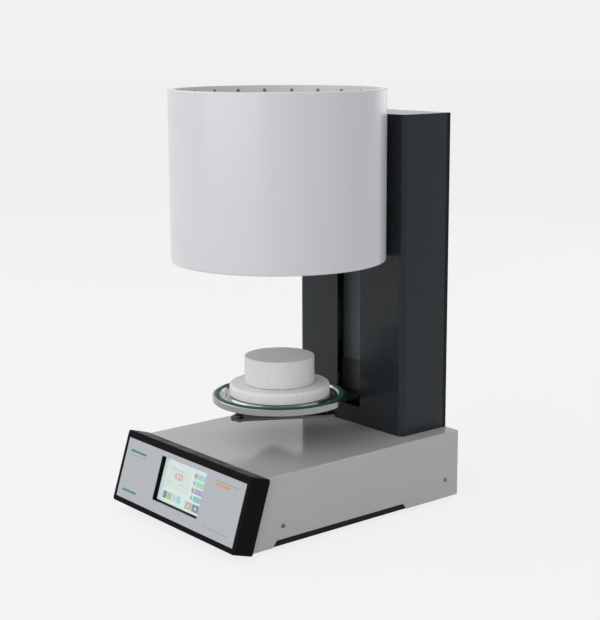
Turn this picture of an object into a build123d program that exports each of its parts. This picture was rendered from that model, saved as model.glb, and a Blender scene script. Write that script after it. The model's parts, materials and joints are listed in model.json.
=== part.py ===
from build123d import *
import os
from math import cos, radians, sin, tan

# Dental porcelain furnace with a lift table, in millimetres. X is across the front, +Y to the back, +Z up.
# The origin is at bench level, in the middle of the furnace's outer box.

# Base
base_width = 242.4
base_height = 84.2
front_lean = 17.7
housing_wall = 1.5
fold_radius = 2.5
foot_height = 6.0
foot_radius = 9.0
foot_tread = 0.6
foot_inset = 28.0
grip_start = 6.0
grip_length = 211.5
grip_height = 7.7
grip_slant = 6.6
tray_wall = 1.5
tray_side_height = 34.0
tray_lip_height = 12.0
tray_vent_length = 44.0
tray_vent_width = 4.0
tray_vent_pitch = 14.0
tray_vent_count = 8
tray_vent_start = 70.0
tray_vent_spread = 58.0
small_screw_radius = 1.5
small_screw_length = 6.0
side_screw_inset = 22.0
side_screw_drop = 61.0
wire_slot_spread = 62.0
wire_slot_length = 34.0
wire_slot_width = 14.0
bolt_radius = 2.0
bolt_length = 10.0
bolt_head_radius = 3.5
bolt_head_height = 2.2
bolt_spread = 37.0
bolt_front = 5.0
bolt_back = 10.0

# Front frame, overlay and display, measured down the leaning front
bezel_width = 254.0
bezel_height = 89.5
bezel_depth = 27.0
bezel_face = 6.3
bezel_corner = 3.5
bezel_edge = 1.4
bezel_cheek = 10.0
bezel_band = 5.0
overlay_width = 242.0
overlay_top = 8.9
overlay_height = 73.9
overlay_sheet = 0.6
overlay_sink = 0.2
window_width = 92.6
window_top = 15.0
window_height = 54.3
glass_width = 104.0
glass_height = 65.0
glass_thickness = 1.1
display_thickness = 3.2
display_tail_width = 16.0
display_tail_height = 24.0
display_board_width = 124.0
display_board_gap = 4.8
display_board_margin = 2.0
display_chip_side = 20.0
display_chip_height = 3.0
display_plug_width = 28.0
display_plug_depth = 12.0
display_plug_height = 6.0
board_thickness = 1.6
boss_radius = 3.2
boss_bore = 1.3
boss_inset = 4.0
boss_offset = 5.0
housing_way_side = 16.2
housing_way_top = 10.0
housing_way_bottom = 8.2

# Column
column_width = 197.2
column_depth = 78.0
column_height = 396.9
column_wall = 1.5
column_corner = 7.5
cap_skirt = 14.0
back_cover_edge = 5.7
back_cover_tongue = 12.0
back_cover_tongue_foot = 4.0
back_cover_tongue_top = 16.0
back_screw_inset = 12.0
back_screw_end = 20.0
back_vent_length = 96.0
back_vent_width = 4.5
back_vent_pitch = 12.0
back_vent_rows = 7
back_vent_foot = 60.0
back_vent_top = 130.0
slot_width = 44.0
slot_bottom = 23.0
frame_wall = 3.0
frame_width = 140.0
frame_flange = 22.0
frame_back_gap = 15.0
frame_top_gap = 6.0
frame_slot_length = 70.0
frame_slot_width = 24.0
frame_slot_start = 110.0
frame_slot_pitch = 90.0
frame_slot_count = 3

# Lift drive
rod_radius = 5.0
rod_spacing = 54.0
screw_radius = 5.0
screw_front_inset = 19.0
screw_back_inset = 37.0
bushing_radius = 9.5
bushing_length = 29.0
bushing_cover = 4.5
bearing_radius = 9.5
bearing_length = 5.0
bearing_sink = 1.0
rod_block_width = 90.0
rod_block_chamfer = 4.0
lower_block_height = 29.0
upper_block_height = 16.0
upper_block_floor = 4.0
coupling_radius = 9.0
coupling_length = 22.0
coupling_chamfer = 0.8
coupling_drop = 1.0
screw_end_gap = 0.5
turning_gap = 2.0
motor_side = 42.3
motor_length = 40.0
motor_end_cap = 9.0
motor_corner = 4.0
motor_waist_step = 1.0
motor_shaft_radius = 2.5
motor_shaft_sink = 28.0
motor_bore_sink = 30.0
carriage_width = 84.0
carriage_height = 39.0
carriage_chamfer = 6.0
carriage_plate_width = 68.0
carriage_plate_thickness = 3.0
carriage_plate_corner = 3.0
shutter_thickness = 1.0
shutter_top_gap = 2.0
nut_radius = 8.0
nut_flange_radius = 11.0
nut_flange_thickness = 3.5
nut_length = 25.0

# Arm and table
arm_bottom = 34.0
arm_thickness = 3.0
arm_width = 38.0
arm_corner = 11.0
arm_screw_spread = 13.0
arm_screw_front = 14.0
arm_screw_back = 10.0
arm_screw_reach = 8.0
arm_screw_head_height = 1.8
level_circle = 62.0
level_screw_radius = 2.0
level_head_radius = 3.6
level_head_height = 2.6
level_nut_flange = 5.2
level_nut_flange_height = 0.8
level_nut_corner = 3.9
level_nut_height = 3.4
table_thread = 5.0
spring_radius = 5.0
spring_wire = 1.2
spring_turns = 3.5
table_top = 56.8
table_thickness = 8.0
table_edge = 5.6
table_edge_break = 0.6
table_pocket_radius = 48.0
table_pocket_depth = 4.0
channel_gap = 2.8
channel_width = 8.6
channel_depth = 2.0
seal_land = 3.8
seal_wire = 3.0
seal_proud = 1.6
plinth_base_radius = 62.2
plinth_base_height = 14.4
plinth_base_edge = 2.2
plinth_radius = 43.2
plinth_height = 34.0
plinth_edge = 1.4

# Heating head
head_center = 114.2
head_bottom = 224.2
head_height = 204.1
head_wall = 1.5
head_air_gap = 24.5
rim_width = 8.5
rim_lip = 26.5
head_bottom_flange = 12.0
lid_wall = 1.5
lid_hub_radius = 24.0
lid_hub_height = 8.0
lid_vent_count = 12
lid_vent_circle = 60.0
lid_vent_length = 34.0
lid_vent_width = 5.0
base_plate_thickness = 3.0
seal_face_sink = 0.5
seal_flange_margin = 12.0
seal_flange_step = 4.5
bell_margin = 9.0
bell_foot = 4.0
mouth_gap = 3.8
mouth_ring_height = 7.0
muffle_ledge = 5.0
muffle_gap = 8.8
muffle_wall = 6.0
muffle_height = 90.0
coil_wire = 1.5
coil_pitch = 11.0
coil_turns = 7
bell_wall = 3.0
bell_cover_thickness = 4.0
bell_port_circle = 40.0
bell_port_radius = 9.0
bell_port_height = 6.0
bell_port_bore = 3.0
plug_height = 42.0
thermocouple_radius = 2.0
thermocouple_reach = 14.0
thermocouple_head_radius = 7.0
thermocouple_head_height = 5.0
bracket_wall = 4.0
bracket_x = 50.0
bracket_foot = 14.0
bracket_low = 12.0
bracket_top_gap = 6.7
pad_in = 5.0
pad_out = 12.0
pad_thickness = 4.0

# Parts on the back of the base
connector_drop = 38.0
nipple_side = 29.6
nipple_radius = 4.0
nipple_bore = 2.2
nipple_reach = 22.0
nipple_stem = 5.0
nipple_collar = 8.0
nipple_collar_thickness = 4.0
nipple_nut = 6.4
nipple_nut_thickness = 4.0
nipple_depth = 14.0
inlet_side = 37.6
inlet_width = 27.0
inlet_height = 20.0
inlet_depth = 15.0
inlet_flange_side = 4.0
inlet_flange_edge = 3.0
inlet_flange_thickness = 3.0
inlet_recess = 14.0
inlet_wall = 1.5
pin_length = 9.0
pin_width = 2.0
pin_height = 4.0
pin_spread = 7.0
pin_rise = 2.0
pump_pitch = 44.0
pump_recess = 2.0
switch_pitch = 38.0
switch_height = 19.0
switch_width = 13.0
switch_depth = 14.0
switch_flange = 1.5
switch_flange_thickness = 2.0
rocker_gap = 0.9
rocker_height = 14.4
rocker_root = 14.0
rocker_reach = 2.0
rocker_dip = 0.6
rocker_depth = 4.0
rocker_tilt = 10.0
well_height = 16.2
well_depth = 9.0
pivot_sink = 2.0
pivot_radius = 1.2
rear_vent_side = 39.6
rear_vent_length = 44.0
rear_vent_width = 2.2
rear_vent_pitch = 4.5
rear_vent_rows = 4
rear_vent_low = 14.2

# Electronics on the tray
supply_side = 10.1
supply_front = 70.0
supply_width = 60.0
supply_length = 102.0
supply_height = 38.0
supply_slot_length = 36.0
supply_slot_width = 3.0
supply_slot_pitch = 10.0
supply_slot_count = 8
supply_terminal = 9.0
supply_step = 12.0
main_board_side = 18.1
main_board_front = 62.0
main_board_width = 104.0
main_board_length = 120.0
standoff_height = 8.0
standoff_side = 3.2
standoff_inset = 6.0
processor_side = 24.0
processor_height = 3.0
relay_side = 16.0
relay_length = 26.0
relay_height = 15.0
relay_pitch = 22.0
relay_count = 3
terminal_length = 40.0
terminal_depth = 9.0
terminal_height = 10.0
capacitor_radius = 8.0
capacitor_height = 22.0
ssr_side = 14.1
ssr_back = 42.0
ssr_width = 44.0
ssr_length = 58.0
ssr_plate = 4.0
ssr_height = 20.0
ssr_terminal_radius = 4.5
ssr_terminal_screw = 3.0
ssr_terminal_depth = 8.0
ssr_terminal_inset = 10.0

# Clearances
seat_gap = 0.1
nest_gap = 1.0
run_gap = 0.3
running_fit = 0.04
close_fit = 0.05
screw_fit = 0.1
past = 1.0

# Radii of the seal, table, chamber and head, from the plinth outwards
mouth_radius = plinth_base_radius + mouth_gap
channel_inner = plinth_base_radius + channel_gap
channel_outer = channel_inner + channel_width
seal_circle = channel_outer + seal_land
table_radius = seal_circle + table_edge
seal_flange_radius = table_radius + seal_flange_margin
bell_radius = seal_flange_radius + bell_margin
bell_inner = bell_radius - bell_wall
seal_flange_rim = bell_radius + bell_foot
muffle_bore = plinth_radius + muffle_gap
head_radius = bell_radius + head_air_gap + head_wall

# Depth: the head, the shutter behind it, the drive and the back cover follow one another
shutter_pack = carriage_plate_thickness + shutter_thickness
base_depth = head_center + head_radius + nest_gap + shutter_pack + screw_front_inset + screw_back_inset
lean = radians(front_lean)
bezel_reach = (
    (bezel_height - bezel_edge) * sin(lean) + (bezel_depth - bezel_edge) * cos(lean) + bezel_edge
)
front_y = (bezel_reach - base_depth - nipple_reach) / 2
rear_y = front_y + base_depth
head_y = front_y + head_center
plate_front = head_y + head_radius + nest_gap
shutter_front = plate_front + carriage_plate_thickness
carriage_front = shutter_front + shutter_thickness
screw_y = carriage_front + screw_front_inset
carriage_back = screw_y + bushing_radius + bushing_cover
column_front = rear_y - column_depth
web_front = rear_y - frame_back_gap - frame_wall

# Heights
deck = foot_height + base_height
inner_half = base_width / 2 - housing_wall
tray_half = inner_half - seat_gap
tray_inner = tray_half - tray_wall
tray_floor = foot_height + tray_wall
column_top = deck + column_height
head_low = deck + head_bottom
head_top = head_low + head_height
arm_low = deck + arm_bottom
arm_high = arm_low + arm_thickness
carriage_top = arm_high + carriage_height
table_high = deck + table_top
table_low = table_high - table_thickness
plinth_base_high = table_high + plinth_base_height
plinth_high = plinth_base_high + plinth_height
seal_face = head_low + seal_face_sink
lift_travel = seal_face - run_gap - table_high - seal_proud
bell_low = head_low + head_wall + base_plate_thickness + seal_flange_step
ledge_low = bell_low + mouth_ring_height
muffle_low = ledge_low + muffle_ledge
muffle_high = muffle_low + muffle_height
bell_high = muffle_high + plug_height
lid_low = head_top - rim_lip - lid_wall
drum_axis = (0, head_y)


def block(x, y, z):
    """A box between two corners, each side given as a low and a high value."""
    return Pos(sum(x) / 2, sum(y) / 2, sum(z) / 2) * Box(x[1] - x[0], y[1] - y[0], z[1] - z[0])


def both(half):
    """The span of a size that is centred on 0."""
    return (-half, half)


def around(middle, size):
    """The span of a size that is centred on a place."""
    return (middle - size / 2, middle + size / 2)


def disc(radius, z, at=(0, 0)):
    return Pos(at[0], at[1], sum(z) / 2) * Cylinder(radius, z[1] - z[0])


def tube(outer, inner, z, at=(0, 0)):
    return disc(outer, z, at) - disc(inner, z, at)


def drilled(shape, radius, z, places):
    """The shape with an upright hole at each place."""
    for place in places:
        shape -= disc(radius, z, place)
    return shape


def turned(points, at=(0, 0)):
    """A solid turned about an upright axis, from (radius, height) points."""
    return Pos(at[0], at[1], 0) * revolve(Plane.XZ * Polygon(*points, align=None), Axis.Z)


def side_cut(points, x):
    """A (y, z) outline pushed across from one x to another."""
    face = Plane.YZ * Polygon(*points, align=None)
    return Pos(x[0], 0, 0) * extrude(face, amount=x[1] - x[0], dir=(1, 0, 0))


def front_line(z, inset=0.0):
    """Where the leaning front of the base lies at a height."""
    return front_y - (deck - z) * tan(lean) + inset / cos(lean)


front_plane = Plane(origin=(0, front_y, deck), x_dir=(1, 0, 0), z_dir=(0, -cos(lean), sin(lean)))


def front_block(x, down, out):
    """A box in the leaning front's own directions: across, down the front and out of it."""
    middle = Pos(sum(x) / 2, -sum(down) / 2, sum(out) / 2)
    return front_plane * middle * Box(x[1] - x[0], down[1] - down[0], out[1] - out[0])


def front_disc(radius, x, down, out):
    return front_plane * Pos(x, -down, sum(out) / 2) * Cylinder(radius, out[1] - out[0])


def across(radius, x, y, z):
    """A round bar along X."""
    return Pos(sum(x) / 2, y, z) * Rot(0, 90, 0) * Cylinder(radius, x[1] - x[0])


def backward(radius, x, y, z):
    """A round bar along Y."""
    return Pos(x, sum(y) / 2, z) * Rot(90, 0, 0) * Cylinder(radius, y[1] - y[0])


def button_screw(shaft_radius, shaft_length):
    """A button-head screw along +Z, with its seat at z = 0 and the head above."""
    head_radius_here = 1.9 * shaft_radius
    head_height_here = 1.1 * shaft_radius
    outline = [
        (0, -shaft_length),
        (shaft_radius, -shaft_length),
        (shaft_radius, 0),
        (head_radius_here, 0),
        (0.85 * head_radius_here, 0.6 * head_height_here),
        (0.5 * head_radius_here, head_height_here),
        (0, head_height_here),
    ]
    socket = Pos(0, 0, head_height_here) * extrude(
        RegularPolygon(0.55 * shaft_radius, 6), amount=-0.6 * head_height_here
    )
    return turned(outline) - socket


# Base pieces

side_screw_places = [front_y + side_screw_inset, rear_y - side_screw_inset]
side_screw_z = deck - side_screw_drop
foot_places = [
    (x, y)
    for x in both(base_width / 2 - foot_inset)
    for y in (front_line(foot_height) + foot_inset, rear_y - foot_inset)
]
deck_bolt_places = [(x, y) for x in both(bolt_spread) for y in (screw_y - bolt_front, screw_y + bolt_back)]
ceiling = deck - housing_wall
under_base = foot_height - past


def side_screw_holes(shape):
    for y in side_screw_places:
        shape -= across(small_screw_radius + screw_fit, both(base_width), y, side_screw_z)
    return shape


def make_base_housing():
    outline = [
        (front_y, deck),
        (rear_y, deck),
        (rear_y, foot_height),
        (front_line(foot_height), foot_height),
    ]
    shell = side_cut(outline, both(base_width / 2))
    shell = fillet(shell.edges().filter_by(Axis.Y).group_by(Axis.Z)[-1], fold_radius)
    hollow_outline = [
        (front_line(ceiling, housing_wall), ceiling),
        (rear_y + past, ceiling),
        (rear_y + past, under_base),
        (front_line(under_base, housing_wall), under_base),
    ]
    hollow = side_cut(hollow_outline, both(inner_half))
    inner_fold = fold_radius - housing_wall
    hollow = fillet(hollow.edges().filter_by(Axis.Y).group_by(Axis.Z)[-1], inner_fold)
    grip_low = front_y + grip_start
    grip_far = grip_low + grip_length
    grip_outline = [
        (grip_low, under_base),
        (grip_far, under_base),
        (grip_far - grip_slant, foot_height + grip_height),
        (grip_low + grip_slant, foot_height + grip_height),
    ]
    grip = side_cut(grip_outline, both(base_width))
    display_way = front_block(
        both(base_width / 2 - housing_way_side),
        (housing_way_top, base_height - housing_way_bottom),
        (-2 * housing_wall, past),
    )
    shell = shell - hollow - grip - display_way
    through = (ceiling - past, deck + past)
    shell -= disc(coupling_radius + turning_gap, through, (0, screw_y))
    for x in both(wire_slot_spread):
        wire_slot = SlotOverall(wire_slot_length, wire_slot_width)
        shell -= Pos(x, screw_y, deck) * extrude(wire_slot, amount=2 * housing_wall, both=True)
    shell = drilled(shell, bolt_radius + screw_fit, through, deck_bolt_places)
    return side_screw_holes(shell)


def make_base_tray():
    lip_front = front_line(tray_floor + tray_lip_height, housing_wall) + seat_gap
    lip_back = rear_y - housing_wall - seat_gap
    high = foot_height + tray_side_height
    lip_high = tray_floor + tray_lip_height
    pan = block(both(tray_half), (lip_front, lip_back), (foot_height, high))
    pan -= block(both(tray_inner), (lip_front + tray_wall, lip_back - tray_wall), (tray_floor, high + past))
    above_lip = (lip_high, high + past)
    pan -= block(both(tray_inner), (lip_front - past, lip_front + tray_wall + past), above_lip)
    pan -= block(both(tray_inner), (lip_back - tray_wall - past, lip_back + past), above_lip)
    # the sides slope down to the leaning front
    slope = [
        (lip_front - past, high + past),
        (front_line(high + past, housing_wall) + seat_gap, high + past),
        (lip_front, lip_high),
        (lip_front - past, lip_high),
    ]
    pan -= side_cut(slope, both(base_width))
    for row in range(tray_vent_count):
        y = around(front_y + tray_vent_start + tray_vent_pitch * row, tray_vent_width)
        for x in both(tray_vent_spread):
            pan -= block(around(x, tray_vent_length), y, (under_base, tray_floor + past))
    return side_screw_holes(pan)


def make_rubber_feet():
    outline = [
        (0, 0),
        (foot_radius - 2.5 * foot_tread, 0),
        (foot_radius - 1.5 * foot_tread, foot_tread),
        (foot_radius, foot_height),
        (0, foot_height),
    ]
    return [turned(outline, place) for place in foot_places]


def make_side_screws():
    screws = []
    for y in side_screw_places:
        for side in (-1, 1):
            seat = Pos(side * base_width / 2, y, side_screw_z) * Rot(0, side * 90, 0)
            screws.append(seat * button_screw(small_screw_radius, small_screw_length))
    return screws


def make_deck_bolts():
    """Bolts from under the deck, which hold the column's lower block down."""
    return [
        disc(bolt_head_radius, (ceiling - bolt_head_height, ceiling), place)
        + disc(bolt_radius, (ceiling, deck + bolt_length), place)
        for place in deck_bolt_places
    ]


# Back of the base

connector_z = deck - connector_drop
inlet_at = (inlet_side - tray_half, connector_z)
switch_at = (inlet_at[0] + switch_pitch, connector_z)
nipple_at = (tray_half - nipple_side, connector_z)
pump_at = (nipple_at[0] - pump_pitch, connector_z)
panel_in = rear_y - housing_wall
panel_cut = (panel_in - past, rear_y + past)


def make_rear_panel():
    panel = block(both(tray_half), (panel_in, rear_y), (tray_floor, ceiling - seat_gap))
    panel = fillet(panel.edges().filter_by(Axis.Y).group_by(Axis.Z)[-1], fold_radius)
    for at in (inlet_at, pump_at):
        width = inlet_width + 2 * seat_gap
        panel -= block(around(at[0], width), panel_cut, around(at[1], inlet_height + 2 * seat_gap))
    switch_hole = switch_width + 2 * seat_gap
    panel -= block(
        around(switch_at[0], switch_hole), panel_cut, around(switch_at[1], switch_height + 2 * seat_gap)
    )
    panel -= backward(nipple_stem + seat_gap, nipple_at[0], panel_cut, nipple_at[1])
    for row in range(rear_vent_rows):
        z = around(foot_height + rear_vent_low + rear_vent_pitch * row, rear_vent_width)
        for x in both(tray_half - rear_vent_side):
            panel -= block(around(x, rear_vent_length), panel_cut, z)
    return panel


def make_appliance_body(at, recess_depth):
    """A mains connector body: a flange outside the panel and a block behind it, with its recess."""
    face = rear_y + inlet_flange_thickness
    flange = block(
        around(at[0], inlet_width + 2 * inlet_flange_side),
        (rear_y, face),
        around(at[1], inlet_height + 2 * inlet_flange_edge),
    )
    flange = fillet(flange.edges().filter_by(Axis.Y), inlet_flange_edge)
    body = block(around(at[0], inlet_width), (rear_y - inlet_depth, rear_y), around(at[1], inlet_height))
    recess = block(
        around(at[0], inlet_width - 2 * inlet_wall),
        (face - recess_depth, face + past),
        around(at[1], inlet_height - 2 * inlet_wall - past),
    )
    recess = chamfer(recess.edges().filter_by(Axis.Y).group_by(Axis.Z)[-1], 2.5 * inlet_wall)
    return flange + body - recess


def pin_shapes(at, y, gap=0.0):
    """The three contacts of a mains connector, or their slots with a gap round them."""
    places = [(-pin_spread, -pin_rise), (pin_spread, -pin_rise), (0, pin_rise)]
    return [
        block(around(at[0] + dx, pin_width + 2 * gap), y, around(at[1] + dz, pin_height + 2 * gap))
        for dx, dz in places
    ]


def make_power_inlet():
    recess_floor = rear_y + inlet_flange_thickness - inlet_recess
    socket = make_appliance_body(inlet_at, inlet_recess)
    for pin in pin_shapes(inlet_at, (recess_floor - past, recess_floor + pin_length - past)):
        socket += pin
    return socket


def make_pump_socket():
    socket = make_appliance_body(pump_at, pump_recess)
    face = rear_y + inlet_flange_thickness
    for slot in pin_shapes(pump_at, (face - inlet_recess, face + past), run_gap):
        socket -= slot
    return socket


rocker_width = switch_width - 2 * rocker_gap
pivot_y = rear_y - pivot_sink


def make_switch_frame():
    x, z = switch_at
    flange = block(
        around(x, switch_width + 2 * switch_flange),
        (rear_y, rear_y + switch_flange_thickness),
        around(z, switch_height + 2 * switch_flange),
    )
    flange = fillet(flange.edges().filter_by(Axis.Y), switch_flange)
    body = block(around(x, switch_width), (rear_y - switch_depth, rear_y), around(z, switch_height))
    well_y = (rear_y - well_depth, rear_y + switch_flange_thickness + past)
    well = block(around(x, rocker_width + 2 * run_gap), well_y, around(z, well_height))
    pivot = across(pivot_radius + close_fit, around(x, 2 * switch_width), pivot_y, z)
    return flange + body - well - pivot


def make_switch_rocker():
    x, z = switch_at
    outline = [
        (rear_y - rocker_depth, z - rocker_root / 2),
        (rear_y + rocker_reach, z - rocker_height / 2),
        (rear_y + rocker_dip, z),
        (rear_y + rocker_reach, z + rocker_height / 2),
        (rear_y - rocker_depth, z + rocker_root / 2),
    ]
    rocker = side_cut(outline, around(x, rocker_width))
    rocker += across(pivot_radius, around(x, switch_width - 4 * seat_gap), pivot_y, z)
    pivot = Pos(x, pivot_y, z)
    return pivot * Rot(rocker_tilt, 0, 0) * pivot.inverse() * rocker


def make_vacuum_nipple():
    shank = nipple_depth - nipple_nut_thickness
    outline = [
        (0, -nipple_depth),
        (nipple_nut, -nipple_depth),
        (nipple_nut, -shank),
        (nipple_stem, -shank),
        (nipple_stem, 0),
        (nipple_collar, 0),
        (nipple_collar, nipple_collar_thickness),
        (nipple_radius, nipple_collar_thickness),
        (nipple_radius, nipple_reach - nipple_radius / 2),
        (nipple_radius - 1, nipple_reach),
        (0, nipple_reach),
    ]
    bore = disc(nipple_bore, (-nipple_depth - past, nipple_reach + past))
    upright = turned(outline) - bore
    return Pos(nipple_at[0], rear_y, nipple_at[1]) * Rot(-90, 0, 0) * upright


# Front frame and display

overlay_back = bezel_depth - overlay_sheet - overlay_sink
bezel_inside = bezel_depth - bezel_face
glass_back = bezel_inside - glass_thickness
display_back = glass_back - display_thickness
display_board_front = display_back - display_board_gap
display_board_back = display_board_front - board_thickness
glass_top = window_top + window_height / 2 - glass_height / 2
glass_low = glass_top + glass_height
glass_down = (glass_top, glass_low)
window_x = both(window_width / 2)
window_down = (window_top, window_top + window_height)
overlay_down = (overlay_top, overlay_top + overlay_height)
out_of_front = (0, bezel_depth + past)
boss_places = [
    (x, down)
    for x in both(glass_width / 2 + boss_offset)
    for down in (glass_top + boss_inset, glass_low - boss_inset)
]


def make_front_bezel():
    frame = front_block(both(bezel_width / 2), (0, bezel_height), (0, bezel_depth))
    out = Axis((0, 0, 0), Vector(*front_plane.z_dir))
    frame = fillet(frame.edges().filter_by(out), bezel_corner)
    frame = fillet(frame.faces().sort_by(out)[-1].edges(), bezel_edge)
    frame -= front_block(
        both(bezel_width / 2 - bezel_cheek),
        (bezel_band, bezel_height - bezel_band),
        (-past, bezel_inside),
    )
    for x, down in boss_places:
        frame += front_disc(boss_radius, x, down, (display_board_front, bezel_inside))
    for x, down in boss_places:
        frame -= front_disc(boss_bore, x, down, (display_board_front - past, bezel_inside - past))
    frame -= front_block(
        both(overlay_width / 2 + seat_gap),
        (overlay_top - seat_gap, overlay_top + overlay_height + seat_gap),
        (overlay_back, bezel_depth + past),
    )
    return frame - front_block(window_x, window_down, out_of_front)


def make_control_overlay():
    sheet = front_block(both(overlay_width / 2), overlay_down, (overlay_back, overlay_back + overlay_sheet))
    return sheet - front_block(window_x, window_down, out_of_front)


def make_touch_glass():
    return front_block(both(glass_width / 2), glass_down, (glass_back, glass_back + glass_thickness))


def make_display_module():
    panel = front_block(both(glass_width / 2), glass_down, (display_back, glass_back))
    tail_down = around(sum(glass_down) / 2, display_tail_height)
    return panel + front_block(both(display_tail_width / 2), tail_down, (display_board_front, display_back))


def make_display_board():
    back = display_board_back
    board_down = (glass_top - display_board_margin, glass_low + display_board_margin)
    board = front_block(both(display_board_width / 2), board_down, (back, display_board_front))
    chip_x = around(-display_board_width / 3, display_chip_side)
    board += front_block(
        chip_x, around(sum(glass_down) / 2, display_chip_side), (back - display_chip_height, back)
    )
    plug_x = around(display_board_width / 4, display_plug_width)
    plug_down = (glass_low - 2 * display_plug_depth, glass_low - display_plug_depth)
    board += front_block(plug_x, plug_down, (back - display_plug_height, back))
    for x, down in boss_places:
        board -= front_disc(boss_bore, x, down, (back - past, display_board_front + past))
    return board


# Electronics on the tray

board_low = tray_floor + standoff_height
board_high = board_low + board_thickness
board_right = tray_inner - main_board_side
board_x = (board_right - main_board_width, board_right)
board_y = (front_y + main_board_front, front_y + main_board_front + main_board_length)
standoff_places = [
    (x, y)
    for x in (board_x[0] + standoff_inset, board_x[1] - standoff_inset)
    for y in (board_y[0] + standoff_inset, board_y[1] - standoff_inset)
]


def make_main_board():
    board = block(board_x, board_y, (board_low, board_high))
    processor = (board_x[0] + processor_side, board_y[0] + processor_side)
    board += block(
        around(processor[0], processor_side),
        around(processor[1], processor_side),
        (board_high, board_high + processor_height),
    )
    for index in range(relay_count):
        x = board_x[1] - relay_pitch * (index + 1)
        relay_y = (board_y[1] - terminal_length, board_y[1] - terminal_length + relay_length)
        board += block((x, x + relay_side), relay_y, (board_high, board_high + relay_height))
    terminal_y = board_y[1] - standoff_inset / 2
    board += block(
        around(sum(board_x) / 2 - terminal_length / 3, terminal_length),
        (terminal_y - terminal_depth, terminal_y),
        (board_high, board_high + terminal_height),
    )
    capacitor_at = (sum(board_x) / 2 + capacitor_radius, board_y[0] + processor_side)
    board += disc(capacitor_radius, (board_high, board_high + capacitor_height), capacitor_at)
    through = (board_low - past, board_high + past)
    return drilled(board, small_screw_radius + screw_fit, through, standoff_places)


def make_board_standoffs():
    return [
        Pos(x, y, tray_floor) * extrude(RegularPolygon(standoff_side, 6), amount=standoff_height)
        for x, y in standoff_places
    ]


def make_power_supply():
    x = (supply_side - tray_inner, supply_side - tray_inner + supply_width)
    y = (front_y + supply_front, front_y + supply_front + supply_length)
    high = tray_floor + supply_height
    case = block(x, y, (tray_floor, high))
    for index in range(supply_slot_count):
        at = y[0] + supply_terminal + supply_slot_pitch * (index + 0.5)
        slot_x = around(sum(x) / 2, supply_slot_length)
        case -= block(slot_x, (at, at + supply_slot_width), (high - tray_wall, high + past))
    step_x = (x[0] + supply_slot_width, x[1] - supply_slot_width)
    step_z = (tray_floor + supply_step, high + past)
    return case - block(step_x, (y[0] - past, y[0] + supply_terminal), step_z)


def make_solid_state_relay():
    x = (ssr_side - tray_inner, ssr_side - tray_inner + ssr_width)
    y = (rear_y - ssr_back - ssr_length, rear_y - ssr_back)
    plate_high = tray_floor + ssr_plate
    high = plate_high + ssr_height
    body = block(x, (y[0] + ssr_plate, y[1] - ssr_plate), (plate_high, high))
    relay = block(x, y, (tray_floor, plate_high)) + fillet(body.edges().filter_by(Axis.Z), ssr_plate / 2)
    screws_low = high - ssr_terminal_depth
    for dx in both(ssr_width / 2 - ssr_terminal_inset):
        for dy in both(ssr_length / 2 - ssr_plate - ssr_terminal_inset):
            place = (sum(x) / 2 + dx, sum(y) / 2 + dy)
            relay -= disc(ssr_terminal_radius, (screws_low, high + past), place)
            relay += disc(ssr_terminal_screw, (screws_low, screws_low + ssr_terminal_depth / 2), place)
    return relay


# Column

def head_clearance(low):
    return disc(head_radius + nest_gap, (low, head_top + past), drum_axis)


def make_column_cover():
    back = rear_y - back_cover_edge
    shell = block(both(column_width / 2), (column_front, back), (deck, column_top))
    shell = fillet(shell.edges().filter_by(Axis.Z).group_by(Axis.Y)[0], column_corner)
    hollow = block(
        both(column_width / 2 - column_wall),
        (column_front + column_wall, back + past),
        (deck - past, column_top + past),
    )
    hollow = fillet(hollow.edges().filter_by(Axis.Z).group_by(Axis.Y)[0], column_corner - column_wall)
    slot_y = (column_front - past, column_front + column_wall + past)
    slot = block(both(slot_width / 2), slot_y, (deck + slot_bottom, head_low))
    return shell - hollow - slot - head_clearance(head_low - nest_gap)


def make_column_cap():
    half = column_width / 2 - column_wall - seat_gap
    front = column_front + column_wall + seat_gap
    back = rear_y - column_wall - seat_gap
    low = column_top - cap_skirt
    cap = block(both(half), (front, back), (low, column_top))
    cap = fillet(cap.edges().filter_by(Axis.Z).group_by(Axis.Y)[0], column_corner - column_wall)
    inner_z = (low - past, column_top - column_wall)
    inner = block(both(half - column_wall), (front - past, back + past), inner_z)
    return cap - inner - head_clearance(low - past)


back_screw_places = [
    (x, z)
    for x in both(column_width / 2 - back_screw_inset)
    for z in (deck + back_screw_end, deck + column_height / 2, column_top - back_screw_end)
]


def make_column_back():
    half = column_width / 2
    inside = rear_y - column_wall
    edge_front = rear_y - back_cover_edge
    pan = block(both(half), (inside, rear_y), (deck, column_top))
    tongue_z = (deck + back_cover_tongue_foot, column_top - back_cover_tongue_top)
    for side in (-1, 1):
        edge = sorted((side * half, side * (half - column_wall)))
        joggle = sorted((side * (half - column_wall), side * (half - column_wall - seat_gap)))
        tongue = sorted((side * (half - column_wall - seat_gap), side * (half - 2 * column_wall)))
        pan += block(edge, (edge_front, inside), (deck, column_top))
        pan += block(joggle, (edge_front, inside), tongue_z)
        pan += block(tongue, (edge_front - back_cover_tongue, inside), tongue_z)
    for row in range(back_vent_rows):
        for start in (deck + back_vent_foot, column_top - back_vent_top):
            z = start + back_vent_pitch * row
            place = Plane(origin=(0, rear_y, z), x_dir=(1, 0, 0), z_dir=(0, -1, 0))
            vent = SlotOverall(back_vent_length, back_vent_width)
            pan -= place * extrude(vent, amount=2 * column_wall, both=True)
    for x, z in back_screw_places:
        pan -= backward(small_screw_radius + screw_fit, x, (inside - past, rear_y + past), z)
    return pan


def make_column_back_screws():
    return [
        Pos(x, rear_y, z) * Rot(-90, 0, 0) * button_screw(small_screw_radius, small_screw_length)
        for x, z in back_screw_places
    ]


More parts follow.
